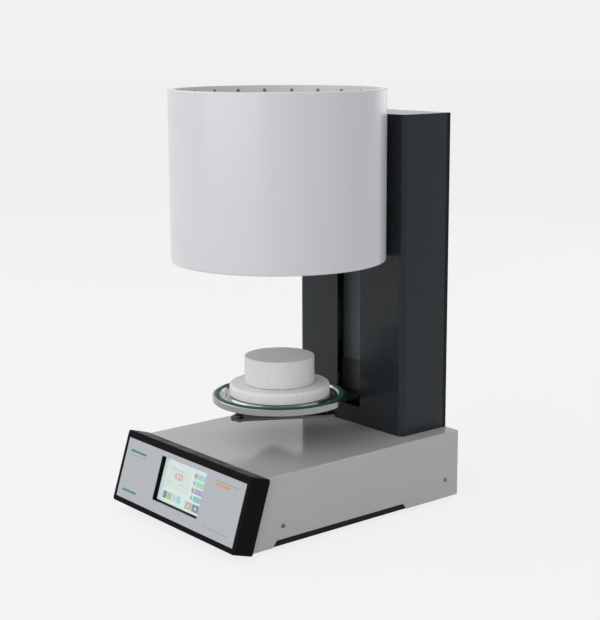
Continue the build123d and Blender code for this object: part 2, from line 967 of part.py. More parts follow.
def make_column_frame():
    half = frame_width / 2
    z = (deck, column_top - frame_top_gap)
    frame = block(both(half), (web_front, web_front + frame_wall), z)
    for side in (-1, 1):
        flange = sorted((side * half, side * (half - frame_wall)))
        frame += block(flange, (web_front - frame_flange, web_front), z)
    for index in range(frame_slot_count):
        middle = deck + frame_slot_start + frame_slot_pitch * index
        place = Plane(origin=(0, web_front, middle), x_dir=(0, 0, 1), z_dir=(0, -1, 0))
        opening = SlotOverall(frame_slot_length, frame_slot_width)
        frame -= place * extrude(opening, amount=2 * frame_wall, both=True)
    return frame


# Lift drive

screw_at = (0, screw_y)
rod_places = [(x, screw_y) for x in both(rod_spacing / 2)]
lower_block_top = deck + lower_block_height
upper_block_high = column_top - frame_top_gap
upper_block_low = upper_block_high - upper_block_height
lower_bearing = (lower_block_top - bearing_sink - bearing_length, lower_block_top - bearing_sink)
upper_bearing = (upper_block_low + upper_block_floor, upper_block_low + upper_block_floor + bearing_length)
coupling_z = (deck - coupling_drop, deck - coupling_drop + coupling_length)
coupling_middle = sum(coupling_z) / 2


def make_rod_block(z):
    body = block(both(rod_block_width / 2), (screw_y - bushing_radius - bushing_cover, web_front), z)
    body = chamfer(body.edges().filter_by(Axis.Z).group_by(Axis.Y)[0], rod_block_chamfer)
    return drilled(body, rod_radius + close_fit, (z[0] - past, z[1] + past), rod_places)


def make_rod_block_lower():
    body = make_rod_block((deck, lower_block_top))
    body -= disc(coupling_radius + turning_gap, (deck - past, lower_bearing[0] - past), screw_at)
    body -= disc(bearing_radius + close_fit, (lower_bearing[0], lower_block_top + past), screw_at)
    body -= disc(screw_radius + turning_gap / 2, (deck, lower_block_top), screw_at)
    return drilled(body, bolt_radius + close_fit, (deck - past, deck + bolt_length + past), deck_bolt_places)


def make_rod_block_upper():
    body = make_rod_block((upper_block_low, upper_block_high))
    body -= disc(bearing_radius + close_fit, (upper_bearing[0], upper_block_high + past), screw_at)
    return body - disc(screw_radius + turning_gap / 2, (upper_block_low - past, upper_block_high), screw_at)


def make_guide_rods():
    return [disc(rod_radius, (deck, upper_block_high), place) for place in rod_places]


def make_lead_screw():
    return disc(screw_radius, (coupling_middle + screw_end_gap, upper_bearing[1] + turning_gap), screw_at)


def make_screw_bearings():
    return [
        tube(bearing_radius, screw_radius + running_fit, z, screw_at) for z in (lower_bearing, upper_bearing)
    ]


def make_shaft_coupling():
    body = disc(coupling_radius, coupling_z, screw_at)
    body = chamfer(body.edges().filter_by(GeomType.CIRCLE), coupling_chamfer)
    body -= disc(screw_radius + close_fit, (coupling_middle, coupling_z[1] + past), screw_at)
    shaft_z = (coupling_z[0] - past, coupling_middle + past)
    return body - disc(motor_shaft_radius + close_fit, shaft_z, screw_at)


def make_lift_motor():
    low = ceiling - motor_length
    y = around(screw_y, motor_side)
    body = block(both(motor_side / 2), y, (low, ceiling))
    body = chamfer(body.edges().filter_by(Axis.Z), motor_corner)
    lamination = (low + motor_end_cap, ceiling - motor_end_cap)
    waist = block(both(motor_side), (y[0] - past, y[1] + past), lamination)
    core_side = motor_side - 2 * motor_waist_step
    core = block(both(core_side / 2), around(screw_y, core_side), (low, ceiling))
    core = chamfer(core.edges().filter_by(Axis.Z), motor_corner + motor_waist_step)
    bore = disc(motor_shaft_radius + running_fit, (ceiling - motor_bore_sink, ceiling + past), screw_at)
    return body - (waist - core) - bore


def make_motor_shaft():
    return disc(motor_shaft_radius, (ceiling - motor_shaft_sink, coupling_middle), screw_at)


# Carriage, arm and table

arm_screw_places = [
    (x, y) for x in both(arm_screw_spread) for y in (screw_y - arm_screw_front, screw_y + arm_screw_back)
]
level_places = [
    (level_circle * sin(radians(turn)), head_y - level_circle * cos(radians(turn))) for turn in (0, 120, 240)
]


def make_carriage():
    body = block(both(carriage_width / 2), (carriage_front, carriage_back), (arm_high, carriage_top))
    body = chamfer(body.edges().filter_by(Axis.Z).group_by(Axis.Y)[-1], carriage_chamfer)
    z = (arm_high - past, carriage_top + past)
    body = drilled(body, bushing_radius + close_fit, z, rod_places)
    body -= disc(nut_radius + close_fit, z, screw_at)
    tapped = (arm_high - past, arm_high + arm_screw_reach + past)
    return drilled(body, level_screw_radius + close_fit, tapped, arm_screw_places)


def make_linear_bushings():
    z = around(arm_high + carriage_height / 2, bushing_length)
    return [tube(bushing_radius, rod_radius + running_fit, z, place) for place in rod_places]


def make_lead_nut():
    low = carriage_top - nut_length
    high = carriage_top + nut_flange_thickness
    nut = disc(nut_radius, (low, carriage_top), screw_at)
    nut += disc(nut_flange_radius, (carriage_top, high), screw_at)
    return nut - disc(screw_radius + running_fit, (low - past, high + past), screw_at)


def make_carriage_plate():
    plate = block(both(carriage_plate_width / 2), (plate_front, shutter_front), (arm_high, carriage_top))
    return fillet(plate.edges().filter_by(Axis.Y).group_by(Axis.Z)[-1], carriage_plate_corner)


def make_slot_shutter():
    z = (arm_high, head_low - shutter_top_gap)
    return block(both(carriage_plate_width / 2), (shutter_front, carriage_front), z)


def make_lift_arm():
    plate = offset(Polygon(*level_places, align=None), amount=arm_corner)
    neck = Pos(0, (head_y + carriage_back) / 2) * Rectangle(arm_width, carriage_back - head_y)
    arm = Pos(0, 0, arm_low) * extrude(plate + neck, amount=arm_thickness)
    z = (arm_low - past, arm_high + past)
    arm = drilled(arm, level_screw_radius + run_gap, z, level_places)
    arm -= disc(screw_radius + turning_gap, z, screw_at)
    arm = drilled(arm, level_screw_radius + close_fit, z, arm_screw_places)
    sunk = (arm_low - past, arm_low + arm_screw_head_height)
    return drilled(arm, level_head_radius + close_fit, sunk, arm_screw_places)


def make_arm_screws():
    neck = arm_low + arm_screw_head_height
    return [
        disc(level_head_radius, (arm_low, neck), place)
        + disc(level_screw_radius, (neck, arm_high + arm_screw_reach), place)
        for place in arm_screw_places
    ]


def make_table_plate():
    groove_in = seal_circle - seal_wire - close_fit
    groove_out = seal_circle + seal_wire + close_fit
    groove_low = table_high + seal_proud - 2 * seal_wire - close_fit
    outline = [
        (0, table_low + table_pocket_depth),
        (table_pocket_radius, table_low + table_pocket_depth),
        (table_pocket_radius, table_low),
        (table_radius - table_edge_break, table_low),
        (table_radius, table_low + table_edge_break),
        (table_radius, table_high - table_edge_break),
        (table_radius - table_edge_break, table_high),
        (groove_out, table_high),
        (groove_out, groove_low),
        (groove_in, groove_low),
        (groove_in, table_high),
        (channel_outer, table_high),
        (channel_outer - channel_depth, table_high - channel_depth),
        (channel_inner + channel_depth, table_high - channel_depth),
        (channel_inner, table_high),
        (0, table_high),
    ]
    tapped = (table_low - past, table_low + table_thread + 2 * seat_gap)
    return drilled(turned(outline, drum_axis), level_screw_radius + close_fit, tapped, level_places)


def make_table_seal():
    return Pos(0, head_y, table_high + seal_proud - seal_wire) * Torus(seal_circle, seal_wire)


def make_levelling_screws():
    head_high = arm_low - run_gap
    return [
        disc(level_head_radius, (head_high - level_head_height, head_high), place)
        + disc(level_screw_radius, (head_high, table_low + table_thread), place)
        for place in level_places
    ]


nut_low = table_low - level_nut_height


def make_levelling_nuts():
    nuts = []
    flange_high = nut_low + level_nut_flange_height
    for x, y in level_places:
        hexagon = extrude(RegularPolygon(level_nut_corner, 6), amount=table_low - flange_high)
        nut = Pos(x, y, flange_high) * hexagon + disc(level_nut_flange, (nut_low, flange_high), (x, y))
        nuts.append(nut - disc(level_screw_radius + close_fit, (nut_low - past, table_low + past), (x, y)))
    return nuts


def make_table_springs():
    """Round-wire springs between the arm and the nuts, drawn as a six-sided wire on a helix."""
    rise = nut_low - arm_high - spring_wire - 2 * seat_gap
    path = Helix(pitch=rise / spring_turns, height=rise, radius=spring_radius - spring_wire / 2)
    section = Plane(origin=path @ 0, z_dir=path % 0) * RegularPolygon(spring_wire / 2, 6)
    start = arm_high + seat_gap + spring_wire / 2
    return [Pos(x, y, start) * sweep(section, path=path, is_frenet=True) for x, y in level_places]


def make_plinth_base():
    outline = [
        (0, table_high),
        (plinth_base_radius - plinth_edge, table_high),
        (plinth_base_radius, table_high + plinth_edge),
        (plinth_base_radius, plinth_base_high - plinth_base_edge),
        (plinth_base_radius - 0.3 * plinth_base_edge, plinth_base_high - 0.3 * plinth_base_edge),
        (plinth_base_radius - plinth_base_edge, plinth_base_high),
        (0, plinth_base_high),
    ]
    return turned(outline, drum_axis)


def make_firing_plinth():
    outline = [
        (0, plinth_base_high),
        (plinth_radius, plinth_base_high),
        (plinth_radius, plinth_high - plinth_edge),
        (plinth_radius - 0.3 * plinth_edge, plinth_high - 0.3 * plinth_edge),
        (plinth_radius - plinth_edge, plinth_high),
        (0, plinth_high),
    ]
    return turned(outline, drum_axis)


# Heating head

rim_inner = head_radius - rim_width
lid_pan_inner = rim_inner + head_wall + seat_gap
lid_floor = lid_low + lid_wall
hub_high = lid_floor + lid_hub_height
plate_low = head_low + head_wall
plate_high = plate_low + base_plate_thickness


def make_head_shell():
    inner = head_radius - head_wall
    foot_inner = head_radius - head_bottom_flange
    with BuildPart() as shell:
        with BuildSketch(Plane.XZ):
            with BuildLine():
                Polyline(
                    (foot_inner, head_low),
                    (head_radius, head_low),
                    (head_radius, head_top),
                    (rim_inner, head_top),
                    (rim_inner, lid_floor),
                    (rim_inner + head_wall, lid_floor),
                    (rim_inner + head_wall, head_top - head_wall),
                    (inner, head_top - head_wall),
                    (inner, plate_low),
                    (foot_inner, plate_low),
                    close=True,
                )
            make_face()
            outside = [v for v in vertices() if abs(v.X - head_radius) < seat_gap]
            lip = [v for v in vertices() if abs(v.X - rim_inner) < seat_gap]
            fillet(outside + [v for v in lip if v.Z > head_top - head_wall], head_wall)
        revolve(axis=Axis.Z)
    return Pos(0, head_y, 0) * shell.part


def make_head_lid():
    """The pan under the rim: a vented floor, its wall outside the rim's lip, and a hub."""
    pan_outer = lid_pan_inner + lid_wall
    lid = disc(pan_outer, (lid_low, lid_floor), drum_axis)
    lid += tube(pan_outer, lid_pan_inner, (lid_floor, head_top - 2 * head_wall), drum_axis)
    lid += disc(lid_hub_radius, (lid_floor, hub_high), drum_axis)
    for index in range(lid_vent_count):
        turn = 360 / lid_vent_count * index
        vent = Pos(lid_vent_circle, 0) * SlotOverall(lid_vent_length, lid_vent_width)
        lid -= Pos(0, head_y, lid_low) * Rot(0, 0, turn) * extrude(vent, amount=2 * lid_wall, both=True)
    return lid - disc(thermocouple_radius + close_fit, (lid_low - past, hub_high + past), drum_axis)


def make_head_base_plate():
    outer = head_radius - head_wall - seat_gap
    return tube(outer, seal_flange_radius + seat_gap, (plate_low, plate_high), drum_axis)


def make_seal_flange():
    outline = [
        (mouth_radius, seal_face),
        (seal_flange_radius, seal_face),
        (seal_flange_radius, plate_high),
        (seal_flange_rim, plate_high),
        (seal_flange_rim, bell_low),
        (mouth_radius, bell_low),
    ]
    return turned(outline, drum_axis)


def make_vacuum_bell():
    return tube(bell_radius, bell_inner, (bell_low, bell_high), drum_axis)


def make_bell_cover():
    high = bell_high + bell_cover_thickness
    port_at = (bell_port_circle, head_y)
    cover = disc(bell_radius, (bell_high, high), drum_axis)
    cover += disc(bell_port_radius, (high, high + bell_port_height), port_at)
    cover -= disc(bell_port_bore, (bell_high - past, high + bell_port_height + past), port_at)
    return cover - disc(thermocouple_radius + close_fit, (bell_high - past, high + past), drum_axis)


def make_insulation_ring():
    """The ring round the mouth, with the ledge that the muffle stands on."""
    outer = bell_inner - seat_gap
    outline = [
        (mouth_radius, bell_low),
        (outer, bell_low),
        (outer, muffle_low),
        (muffle_bore, muffle_low),
        (muffle_bore, ledge_low),
        (mouth_radius, ledge_low),
    ]
    return turned(outline, drum_axis)


def make_insulation_jacket():
    inner = muffle_bore + muffle_wall + seat_gap
    return tube(bell_inner - seat_gap, inner, (muffle_low, muffle_high), drum_axis)


def make_insulation_plug():
    plug = disc(bell_inner - seat_gap, (muffle_high, bell_high), drum_axis)
    return plug - disc(thermocouple_radius + close_fit, (muffle_high - past, bell_high + past), drum_axis)


def make_quartz_muffle():
    return tube(muffle_bore + muffle_wall, muffle_bore, (muffle_low, muffle_high), drum_axis)


def make_heating_coil():
    rise = coil_pitch * coil_turns
    path = Helix(pitch=coil_pitch, height=rise, radius=muffle_bore - coil_wire - seat_gap)
    section = Plane(origin=path @ 0, z_dir=path % 0) * RegularPolygon(coil_wire, 6)
    coil = sweep(section, path=path, is_frenet=True)
    return Pos(0, head_y, muffle_low + (muffle_height - rise) / 2) * coil


def make_thermocouple():
    head_z = (hub_high, hub_high + thermocouple_head_height)
    head = disc(thermocouple_head_radius, head_z, drum_axis)
    head = chamfer(head.edges().filter_by(GeomType.CIRCLE).sort_by(Axis.Z)[-1], thermocouple_radius / 2)
    return head + disc(thermocouple_radius, (muffle_high - thermocouple_reach, hub_high), drum_axis)


def make_head_brackets():
    """Brackets from the column's frame to curved pads against the drum."""
    z = (head_low + bracket_low, upper_block_high - bracket_top_gap)
    start = head_y + head_radius / 2
    drum_side = disc(head_radius + seat_gap, (z[0] - past, z[1] + past), drum_axis)
    pad_shell = disc(head_radius + seat_gap + pad_thickness, z, drum_axis)
    brackets = []
    for side in (-1, 1):
        wall_x = sorted((side * bracket_x, side * (bracket_x + bracket_wall)))
        foot_x = sorted((side * bracket_x, side * (bracket_x + bracket_foot)))
        pad_x = sorted((side * (bracket_x - pad_in), side * (bracket_x + pad_out)))
        wall = block(wall_x, (start, web_front), z)
        foot = block(foot_x, (web_front - bracket_wall, web_front), z)
        pad = block(pad_x, (start, web_front), z) & pad_shell
        brackets.append(wall + foot + pad - drum_side)
    return brackets


makers = {
    "base_housing": make_base_housing,
    "base_tray": make_base_tray,
    "rear_panel": make_rear_panel,
    "rubber_feet": make_rubber_feet,
    "side_screws": make_side_screws,
    "deck_bolts": make_deck_bolts,
    "power_inlet": make_power_inlet,
    "pump_socket": make_pump_socket,
    "switch_frame": make_switch_frame,
    "switch_rocker": make_switch_rocker,
    "vacuum_nipple": make_vacuum_nipple,
    "front_bezel": make_front_bezel,
    "control_overlay": make_control_overlay,
    "touch_glass": make_touch_glass,
    "display_module": make_display_module,
    "display_board": make_display_board,
    "main_board": make_main_board,
    "board_standoffs": make_board_standoffs,
    "power_supply": make_power_supply,
    "solid_state_relay": make_solid_state_relay,
    "column_cover": make_column_cover,
    "column_cap": make_column_cap,
    "column_back": make_column_back,
    "column_back_screws": make_column_back_screws,
    "column_frame": make_column_frame,
    "rod_block_lower": make_rod_block_lower,
    "rod_block_upper": make_rod_block_upper,
    "guide_rods": make_guide_rods,
    "lead_screw": make_lead_screw,
    "screw_bearings": make_screw_bearings,
    "shaft_coupling": make_shaft_coupling,
    "motor_shaft": make_motor_shaft,
    "lift_motor": make_lift_motor,
    "carriage": make_carriage,
    "linear_bushings": make_linear_bushings,
    "lead_nut": make_lead_nut,
    "carriage_plate": make_carriage_plate,
    "slot_shutter": make_slot_shutter,
    "lift_arm": make_lift_arm,
    "arm_screws": make_arm_screws,
    "table_plate": make_table_plate,
    "table_seal": make_table_seal,
    "levelling_screws": make_levelling_screws,
    "levelling_nuts": make_levelling_nuts,
    "table_springs": make_table_springs,
    "plinth_base": make_plinth_base,
    "firing_plinth": make_firing_plinth,
    "head_shell": make_head_shell,
    "head_lid": make_head_lid,
    "head_base_plate": make_head_base_plate,
    "seal_flange": make_seal_flange,
    "vacuum_bell": make_vacuum_bell,
    "bell_cover": make_bell_cover,
    "insulation_ring": make_insulation_ring,
    "insulation_jacket": make_insulation_jacket,
    "insulation_plug": make_insulation_plug,
    "quartz_muffle": make_quartz_muffle,
    "heating_coil": make_heating_coil,
    "thermocouple": make_thermocouple,
    "head_brackets": make_head_brackets,
}

os.makedirs("parts", exist_ok=True)
for name, make in makers.items():
    shape = make()
    if isinstance(shape, list):
        shape = Compound(children=shape)
    export_step(shape, f"parts/{name}.step")
print("lift travel", round(lift_travel, 2))
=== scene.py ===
# %% [markdown]
# A dental porcelain furnace, dressed for a render. The construction comes from the packed CAD model:
# this script gives every solid its finish, adds the small pieces that are quicker to model by hand,
# and sets up a plain studio with the camera at the photograph's angle. Lengths are in metres.

import json
import math

import bmesh
import bpy
from mathutils import Matrix, Vector

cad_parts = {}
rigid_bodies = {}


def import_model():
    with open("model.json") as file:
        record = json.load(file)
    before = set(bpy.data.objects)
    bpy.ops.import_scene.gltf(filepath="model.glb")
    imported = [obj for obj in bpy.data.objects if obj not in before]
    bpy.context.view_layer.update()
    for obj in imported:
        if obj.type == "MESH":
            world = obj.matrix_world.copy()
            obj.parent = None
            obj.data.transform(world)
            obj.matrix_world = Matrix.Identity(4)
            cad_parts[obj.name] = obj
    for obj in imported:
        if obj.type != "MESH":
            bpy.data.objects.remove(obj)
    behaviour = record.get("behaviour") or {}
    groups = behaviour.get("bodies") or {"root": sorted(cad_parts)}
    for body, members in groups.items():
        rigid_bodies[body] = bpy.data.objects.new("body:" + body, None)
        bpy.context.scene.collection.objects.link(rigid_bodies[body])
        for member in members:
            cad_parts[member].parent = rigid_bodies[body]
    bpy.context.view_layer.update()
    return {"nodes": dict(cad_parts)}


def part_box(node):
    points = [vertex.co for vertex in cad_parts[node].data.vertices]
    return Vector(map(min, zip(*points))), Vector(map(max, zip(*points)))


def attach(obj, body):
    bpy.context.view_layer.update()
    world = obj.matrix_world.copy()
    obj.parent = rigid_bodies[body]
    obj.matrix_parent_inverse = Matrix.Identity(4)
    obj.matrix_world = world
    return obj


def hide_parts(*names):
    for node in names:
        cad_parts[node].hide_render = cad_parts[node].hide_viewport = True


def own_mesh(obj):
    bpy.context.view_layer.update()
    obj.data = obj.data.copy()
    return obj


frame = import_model()
nodes = frame["nodes"]
MM = 0.001

# %% [markdown]
# Most places are read from the CAD nodes instead of being typed in, so that a change of the CAD model
# carries the dressing along. The leaning front needs a frame of its own: a point on it is given by its
# distance across, its distance down the front and its distance out of it. The display's glass is a plain
# slab that lies in that frame, so its corners tell where the front leans and how much.

# %% Places read from the CAD model
drum_low, drum_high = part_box("head_shell")
axis_y = (drum_low.y + drum_high.y) / 2
glass_points = [v.co.copy() for v in nodes["touch_glass"].data.vertices]
glass_left = min(p.x for p in glass_points)
glass_right = max(p.x for p in glass_points)
glass_crown = max(glass_points, key=lambda p: p.z)
glass_front_foot = min(glass_points, key=lambda p: p.y)
glass_back_foot = min(glass_points, key=lambda p: p.z)
out_of_front = Vector((0, glass_front_foot.y - glass_back_foot.y, glass_front_foot.z - glass_back_foot.z))
glass_thickness = out_of_front.length
out_of_front.normalize()
down_front = Vector((0, out_of_front.z, -out_of_front.y)) * -1
glass_back_top = Vector((0, glass_crown.y, glass_crown.z)) - out_of_front * glass_thickness
glass_height = (glass_back_foot - glass_back_top).dot(down_front)
print("front leans", round(math.degrees(math.asin(out_of_front.z)), 2), "degrees")

# %% [markdown]
# The camera stands where the photographer stood. Its place, angles and lens were solved from the edges of
# the base, the ellipses of the drum and the table, and the corners of the column. A camera looks along its
# own -Z, so it is tipped up from the floor first, then turned about the upright axis.

# %% Camera at the photograph's angle
camera_place = Vector((1.2935, -1.04508, 0.57465))
camera_turn = math.radians(50.8)
camera_tip = math.radians(-11.11)
camera_roll = math.radians(-0.25)
focal_pixels = 1375.02
picture_height = 620
sensor_width = 36.0

camera_data = bpy.data.cameras.new("photo_camera")
camera = bpy.data.objects.new("photo_camera", camera_data)
bpy.context.scene.collection.objects.link(camera)
camera.matrix_world = (
    Matrix.Translation(camera_place)
    @ Matrix.Rotation(camera_turn, 4, "Z")
    @ Matrix.Rotation(math.radians(90) + camera_tip, 4, "X")
    @ Matrix.Rotation(camera_roll, 4, "Z")
)
camera_data.sensor_width = sensor_width
camera_data.lens = focal_pixels * sensor_width / picture_height
camera_data.clip_end = 20
bpy.context.scene.camera = camera
bpy.context.scene.view_settings.view_transform = "Standard"
print("lens", round(camera_data.lens, 2), "mm")

# %% [markdown]
# Operators act on whatever is selected, and loading the model leaves its solids selected, so everything is
# deselected before each step. A finished piece stays at the origin, unturned, with its place in its mesh,
# because the patterns of the finishes count on that.

# %% Helpers that select and settle
op = bpy.ops


def nothing_selected():
    if bpy.context.object and bpy.context.object.mode != "OBJECT":
        op.object.mode_set(mode="OBJECT")
    op.object.select_all(action="DESELECT")


def only(piece):
    nothing_selected()
    piece.select_set(True)
    bpy.context.view_layer.objects.active = piece


def settled(piece, name, smooth=None):
    """Leaves a piece in object mode, named, at the origin, and shaded smooth below an angle in degrees."""
    only(piece)
    op.object.transform_apply(location=True, rotation=True, scale=True)
    piece.name = piece.data.name = name
    if smooth is not None:
        op.object.shade_smooth_by_angle(angle=math.radians(smooth))
    return piece


print("selected after loading:", sum(piece.select_get() for piece in bpy.data.objects))
nothing_selected()
print("selected after clearing:", sum(piece.select_get() for piece in bpy.data.objects))

# %% [markdown]
# Patterns are made of small nodes that are linked one after another. These tools add a node and its links
# in one call: noise, one step of arithmetic, a soft ramp between two values, a mix of two colours, and a
# coordinate that runs round the furnace's upright axis.

# %% Tools for material nodes
class NodeTools:
    """Adds nodes to the tree of a material whose coordinates are in self.place."""

    def node(self, kind, **values):
        made = self.tree.nodes.new(kind)
        for key, value in values.items():
            if key in made.inputs:
                made.inputs[key].default_value = value
            else:
                setattr(made, key, value)
        return made

    def link(self, a, b):
        self.tree.links.new(a, b)

    def noise(self, scale, detail=3.0, place=None, stretch=None):
        place = place or self.place
        if stretch:
            mapping = self.node("ShaderNodeMapping", Scale=stretch)
            self.link(place, mapping.inputs["Vector"])
            place = mapping.outputs["Vector"]
        made = self.node("ShaderNodeTexNoise", Scale=scale, Detail=detail)
        self.link(place, made.inputs["Vector"])
        return made.outputs["Fac"]

    def maths(self, operation, a, b=None):
        made = self.node("ShaderNodeMath", operation=operation)
        for index, value in enumerate([a, b]):
            if value is None:
                continue
            if isinstance(value, (int, float)):
                made.inputs[index].default_value = value
            else:
                self.link(value, made.inputs[index])
        return made.outputs[0]

    def ramp(self, value, low, high, out_low=0.0, out_high=1.0):
        made = self.node("ShaderNodeMapRange", interpolation_type="SMOOTHSTEP")
        limits = {"From Min": low, "From Max": high, "To Min": out_low, "To Max": out_high}
        for socket, number in limits.items():
            made.inputs[socket].default_value = number
        self.link(value, made.inputs["Value"])
        return made.outputs["Result"]

    def blend(self, factor, a, b):
        made = self.node("ShaderNodeMix", data_type="RGBA")
        self.link(factor, made.inputs["Factor"])
        for socket, value in ((6, a), (7, b)):
            if isinstance(value, tuple):
                made.inputs[socket].default_value = (*value, 1)
            else:
                self.link(value, made.inputs[socket])
        return made.outputs[2]

    def axes(self):
        split = self.node("ShaderNodeSeparateXYZ")
        self.link(self.place, split.inputs[0])
        return split.outputs

    def rings(self, centre_y):
        """A coordinate that stays the same all the way round the drum's axis, for lines as a lathe leaves."""
        x, y, z = self.axes()
        y = self.maths("SUBTRACT", y, centre_y)
        squares = [self.maths("MULTIPLY", along, along) for along in (x, y)]
        radius = self.maths("SQRT", self.maths("ADD", *squares))
        joint = self.node("ShaderNodeCombineXYZ")
        self.link(radius, joint.inputs[0])
        self.link(z, joint.inputs[2])
        return joint.outputs[0]


print("tools for nodes:", [name for name in vars(NodeTools) if not name.startswith("_")])

# %% [markdown]
# A finish is a node material. All of them share a start: a Principled shader, the Object coordinates that
# stay with a piece when it moves, and three tools for detail, one for a fine bump, one for a slight change
# of colour over the surface and one for a change of roughness. Each finish then gets its own function.

# %% A finish
shades = {}


class Finish(NodeTools):
    """A material with its Principled shader and short ways to add detail."""

    def __init__(self, name, colour, roughness, metallic=0.0, **sockets):
        self.material = bpy.data.materials.new(name)
        self.material.use_nodes = True
        self.tree = self.material.node_tree
        self.shader = self.tree.nodes["Principled BSDF"]
        self.shader.inputs["Base Color"].default_value = (*colour, 1)
        self.shader.inputs["Roughness"].default_value = roughness
        self.shader.inputs["Metallic"].default_value = metallic
        for socket, value in sockets.items():
            self.shader.inputs[socket.replace("_", " ")].default_value = value
        self.place = self.node("ShaderNodeTexCoord").outputs["Object"]
        self.relief = None
        shades[name] = self.material

    def tint(self, factor, other):
        """The base colour goes over to another colour where the factor is 1."""
        socket = self.shader.inputs["Base Color"]
        now = socket.links[0].from_socket if socket.links else tuple(socket.default_value[:3])
        self.link(self.blend(factor, now, other), socket)
        return self

    def rough(self, factor, low, high):
        self.link(self.ramp(factor, 0.25, 0.75, low, high), self.shader.inputs["Roughness"])
        return self

    def bump(self, height, distance, strength=1.0):
        """Adds bumps as high as the distance, in metres, on top of any that are there."""
        made = self.node("ShaderNodeBump", Distance=distance, Strength=strength)
        self.link(height, made.inputs["Height"])
        if self.relief:
            self.link(self.relief, made.inputs["Normal"])
        self.relief = made.outputs["Normal"]
        self.link(self.relief, self.shader.inputs["Normal"])
        return self


print("finishes so far:", len(shades))

# %% [markdown]
# Behind the furnace is one plain pale colour. The world shows it to the camera and to mirrors alone, and
# gives the rest of the scene a dimmer light of its own, so the background comes out pale without extra
# light falling on the object.

# %% World
backdrop_colour = (0.879, 0.882, 0.882)
room_light = (0.66, 0.68, 0.70)
room_strength = 0.62


def seen_directly(tree):
    """1 for a ray from the camera, a mirror or clear glass, and 0 for the light that falls on things."""
    path = tree.nodes.new("ShaderNodeLightPath")
    total = path.outputs["Is Camera Ray"]
    for name in ("Is Glossy Ray", "Is Transmission Ray"):
        added = tree.nodes.new("ShaderNodeMath")
        added.operation = "MAXIMUM"
        tree.links.new(total, added.inputs[0])
        tree.links.new(path.outputs[name], added.inputs[1])
        total = added.outputs[0]
    return total


world = bpy.data.worlds.new("studio")
bpy.context.scene.world = world
world.use_nodes = True
tree = world.node_tree
tree.nodes.clear()
room = tree.nodes.new("ShaderNodeBackground")
room.inputs["Color"].default_value = (*room_light, 1)
room.inputs["Strength"].default_value = room_strength
backdrop = tree.nodes.new("ShaderNodeBackground")
backdrop.inputs["Color"].default_value = (*backdrop_colour, 1)
mixed = tree.nodes.new("ShaderNodeMixShader")
output = tree.nodes.new("ShaderNodeOutputWorld")
tree.links.new(seen_directly(tree), mixed.inputs[0])
tree.links.new(room.outputs[0], mixed.inputs[1])
tree.links.new(backdrop.outputs[0], mixed.inputs[2])
tree.links.new(mixed.outputs[0], output.inputs[0])
print("world", backdrop_colour)

# %% [markdown]
# The floor is so large that its far edge meets the world at the horizon, and its tone is matched to the
# world's, so no line shows between them. A share of it glows for the camera, and the rest is matt and
# keeps a soft shadow under the feet.

# %% Floor
floor_colour = (0.80, 0.81, 0.81)
floor_roughness = 0.9
floor_glow = (0.928, 0.930, 0.930)
floor_glow_share = 0.88
floor_size = 300.0

nothing_selected()
op.mesh.primitive_plane_add(size=floor_size, location=(0, 0, 0))
floor = settled(bpy.context.object, "floor")
pale = bpy.data.materials.new("pale_floor")
pale.use_nodes = True
tree = pale.node_tree
matt = tree.nodes["Principled BSDF"]
matt.inputs["Base Color"].default_value = (*floor_colour, 1)
matt.inputs["Roughness"].default_value = floor_roughness
glow = tree.nodes.new("ShaderNodeEmission")
glow.inputs["Color"].default_value = (*floor_glow, 1)
both = tree.nodes.new("ShaderNodeMixShader")
share = tree.nodes.new("ShaderNodeMath")
share.operation = "MULTIPLY"
share.inputs[1].default_value = floor_glow_share
tree.links.new(seen_directly(tree), share.inputs[0])
tree.links.new(share.outputs[0], both.inputs[0])
tree.links.new(matt.outputs[0], both.inputs[1])
tree.links.new(glow.outputs[0], both.inputs[2])
tree.links.new(both.outputs[0], tree.nodes["Material Output"].inputs[0])
floor.data.materials.append(pale)
print("floor", floor_size, "m square")

# %% [markdown]
# A shiny drum shows its surroundings as upright bands, so the lamps are large soft boxes that stand around
# the object. A very wide one in front of it gives the drum its broad pale band and a slow fall to the
# right. A higher one on the left lifts the drum's left edge and the inside of its rim. A weak one on the
# right keeps the base's side from going dark, and mirrors don't see it, so it adds no second band. The
# last two stand behind and overhead.

# %% Lamps
aim = Vector((0, 0, 0.33))


def soft_box(name, azimuth, distance, height, width, tall, power):
    """A rectangular white lamp at an angle round the object, seen from above, that faces its middle."""
    data = bpy.data.lights.new(name, "AREA")
    data.shape = "RECTANGLE"
    data.size = width
    data.size_y = tall
    data.energy = power
    lamp = bpy.data.objects.new(name, data)
    bpy.context.scene.collection.objects.link(lamp)
    turn = math.radians(azimuth)
    lamp.location = (distance * math.sin(turn), -distance * math.cos(turn), height)
    lamp.rotation_euler = (aim - lamp.location).to_track_quat("-Z", "Y").to_euler()
    return lamp


soft_box("overhead", azimuth=-30, distance=0.5, height=2.3, width=2.2, tall=2.2, power=9)
soft_box("front_wide", azimuth=4, distance=2.4, height=1.2, width=3.2, tall=2.0, power=37)
soft_box("left_side", azimuth=-72, distance=2.2, height=2.1, width=1.6, tall=1.6, power=14)
right_fill = soft_box("right_fill", azimuth=100, distance=2.6, height=0.9, width=1.2, tall=1.6, power=11)
right_fill.visible_glossy = False
soft_box("behind", azimuth=190, distance=2.4, height=1.1, width=1.6, tall=1.6, power=8)

# %% [markdown]
# The drum is sheet metal with a thick coat of gloss white enamel. Enamel is a coloured layer under a clear
# skin, so the shader gets a coat on top, and a very slow waviness makes its reflections soft at the edges,
# as a stove finish does. The lid pan inside the rim has the same enamel in a lighter colour: painted light,
# so that the pan throws more light onto the inside of the rim.

# %% Enamel and paint
wave_height = 1.44 * MM
grain_height = 0.01 * MM


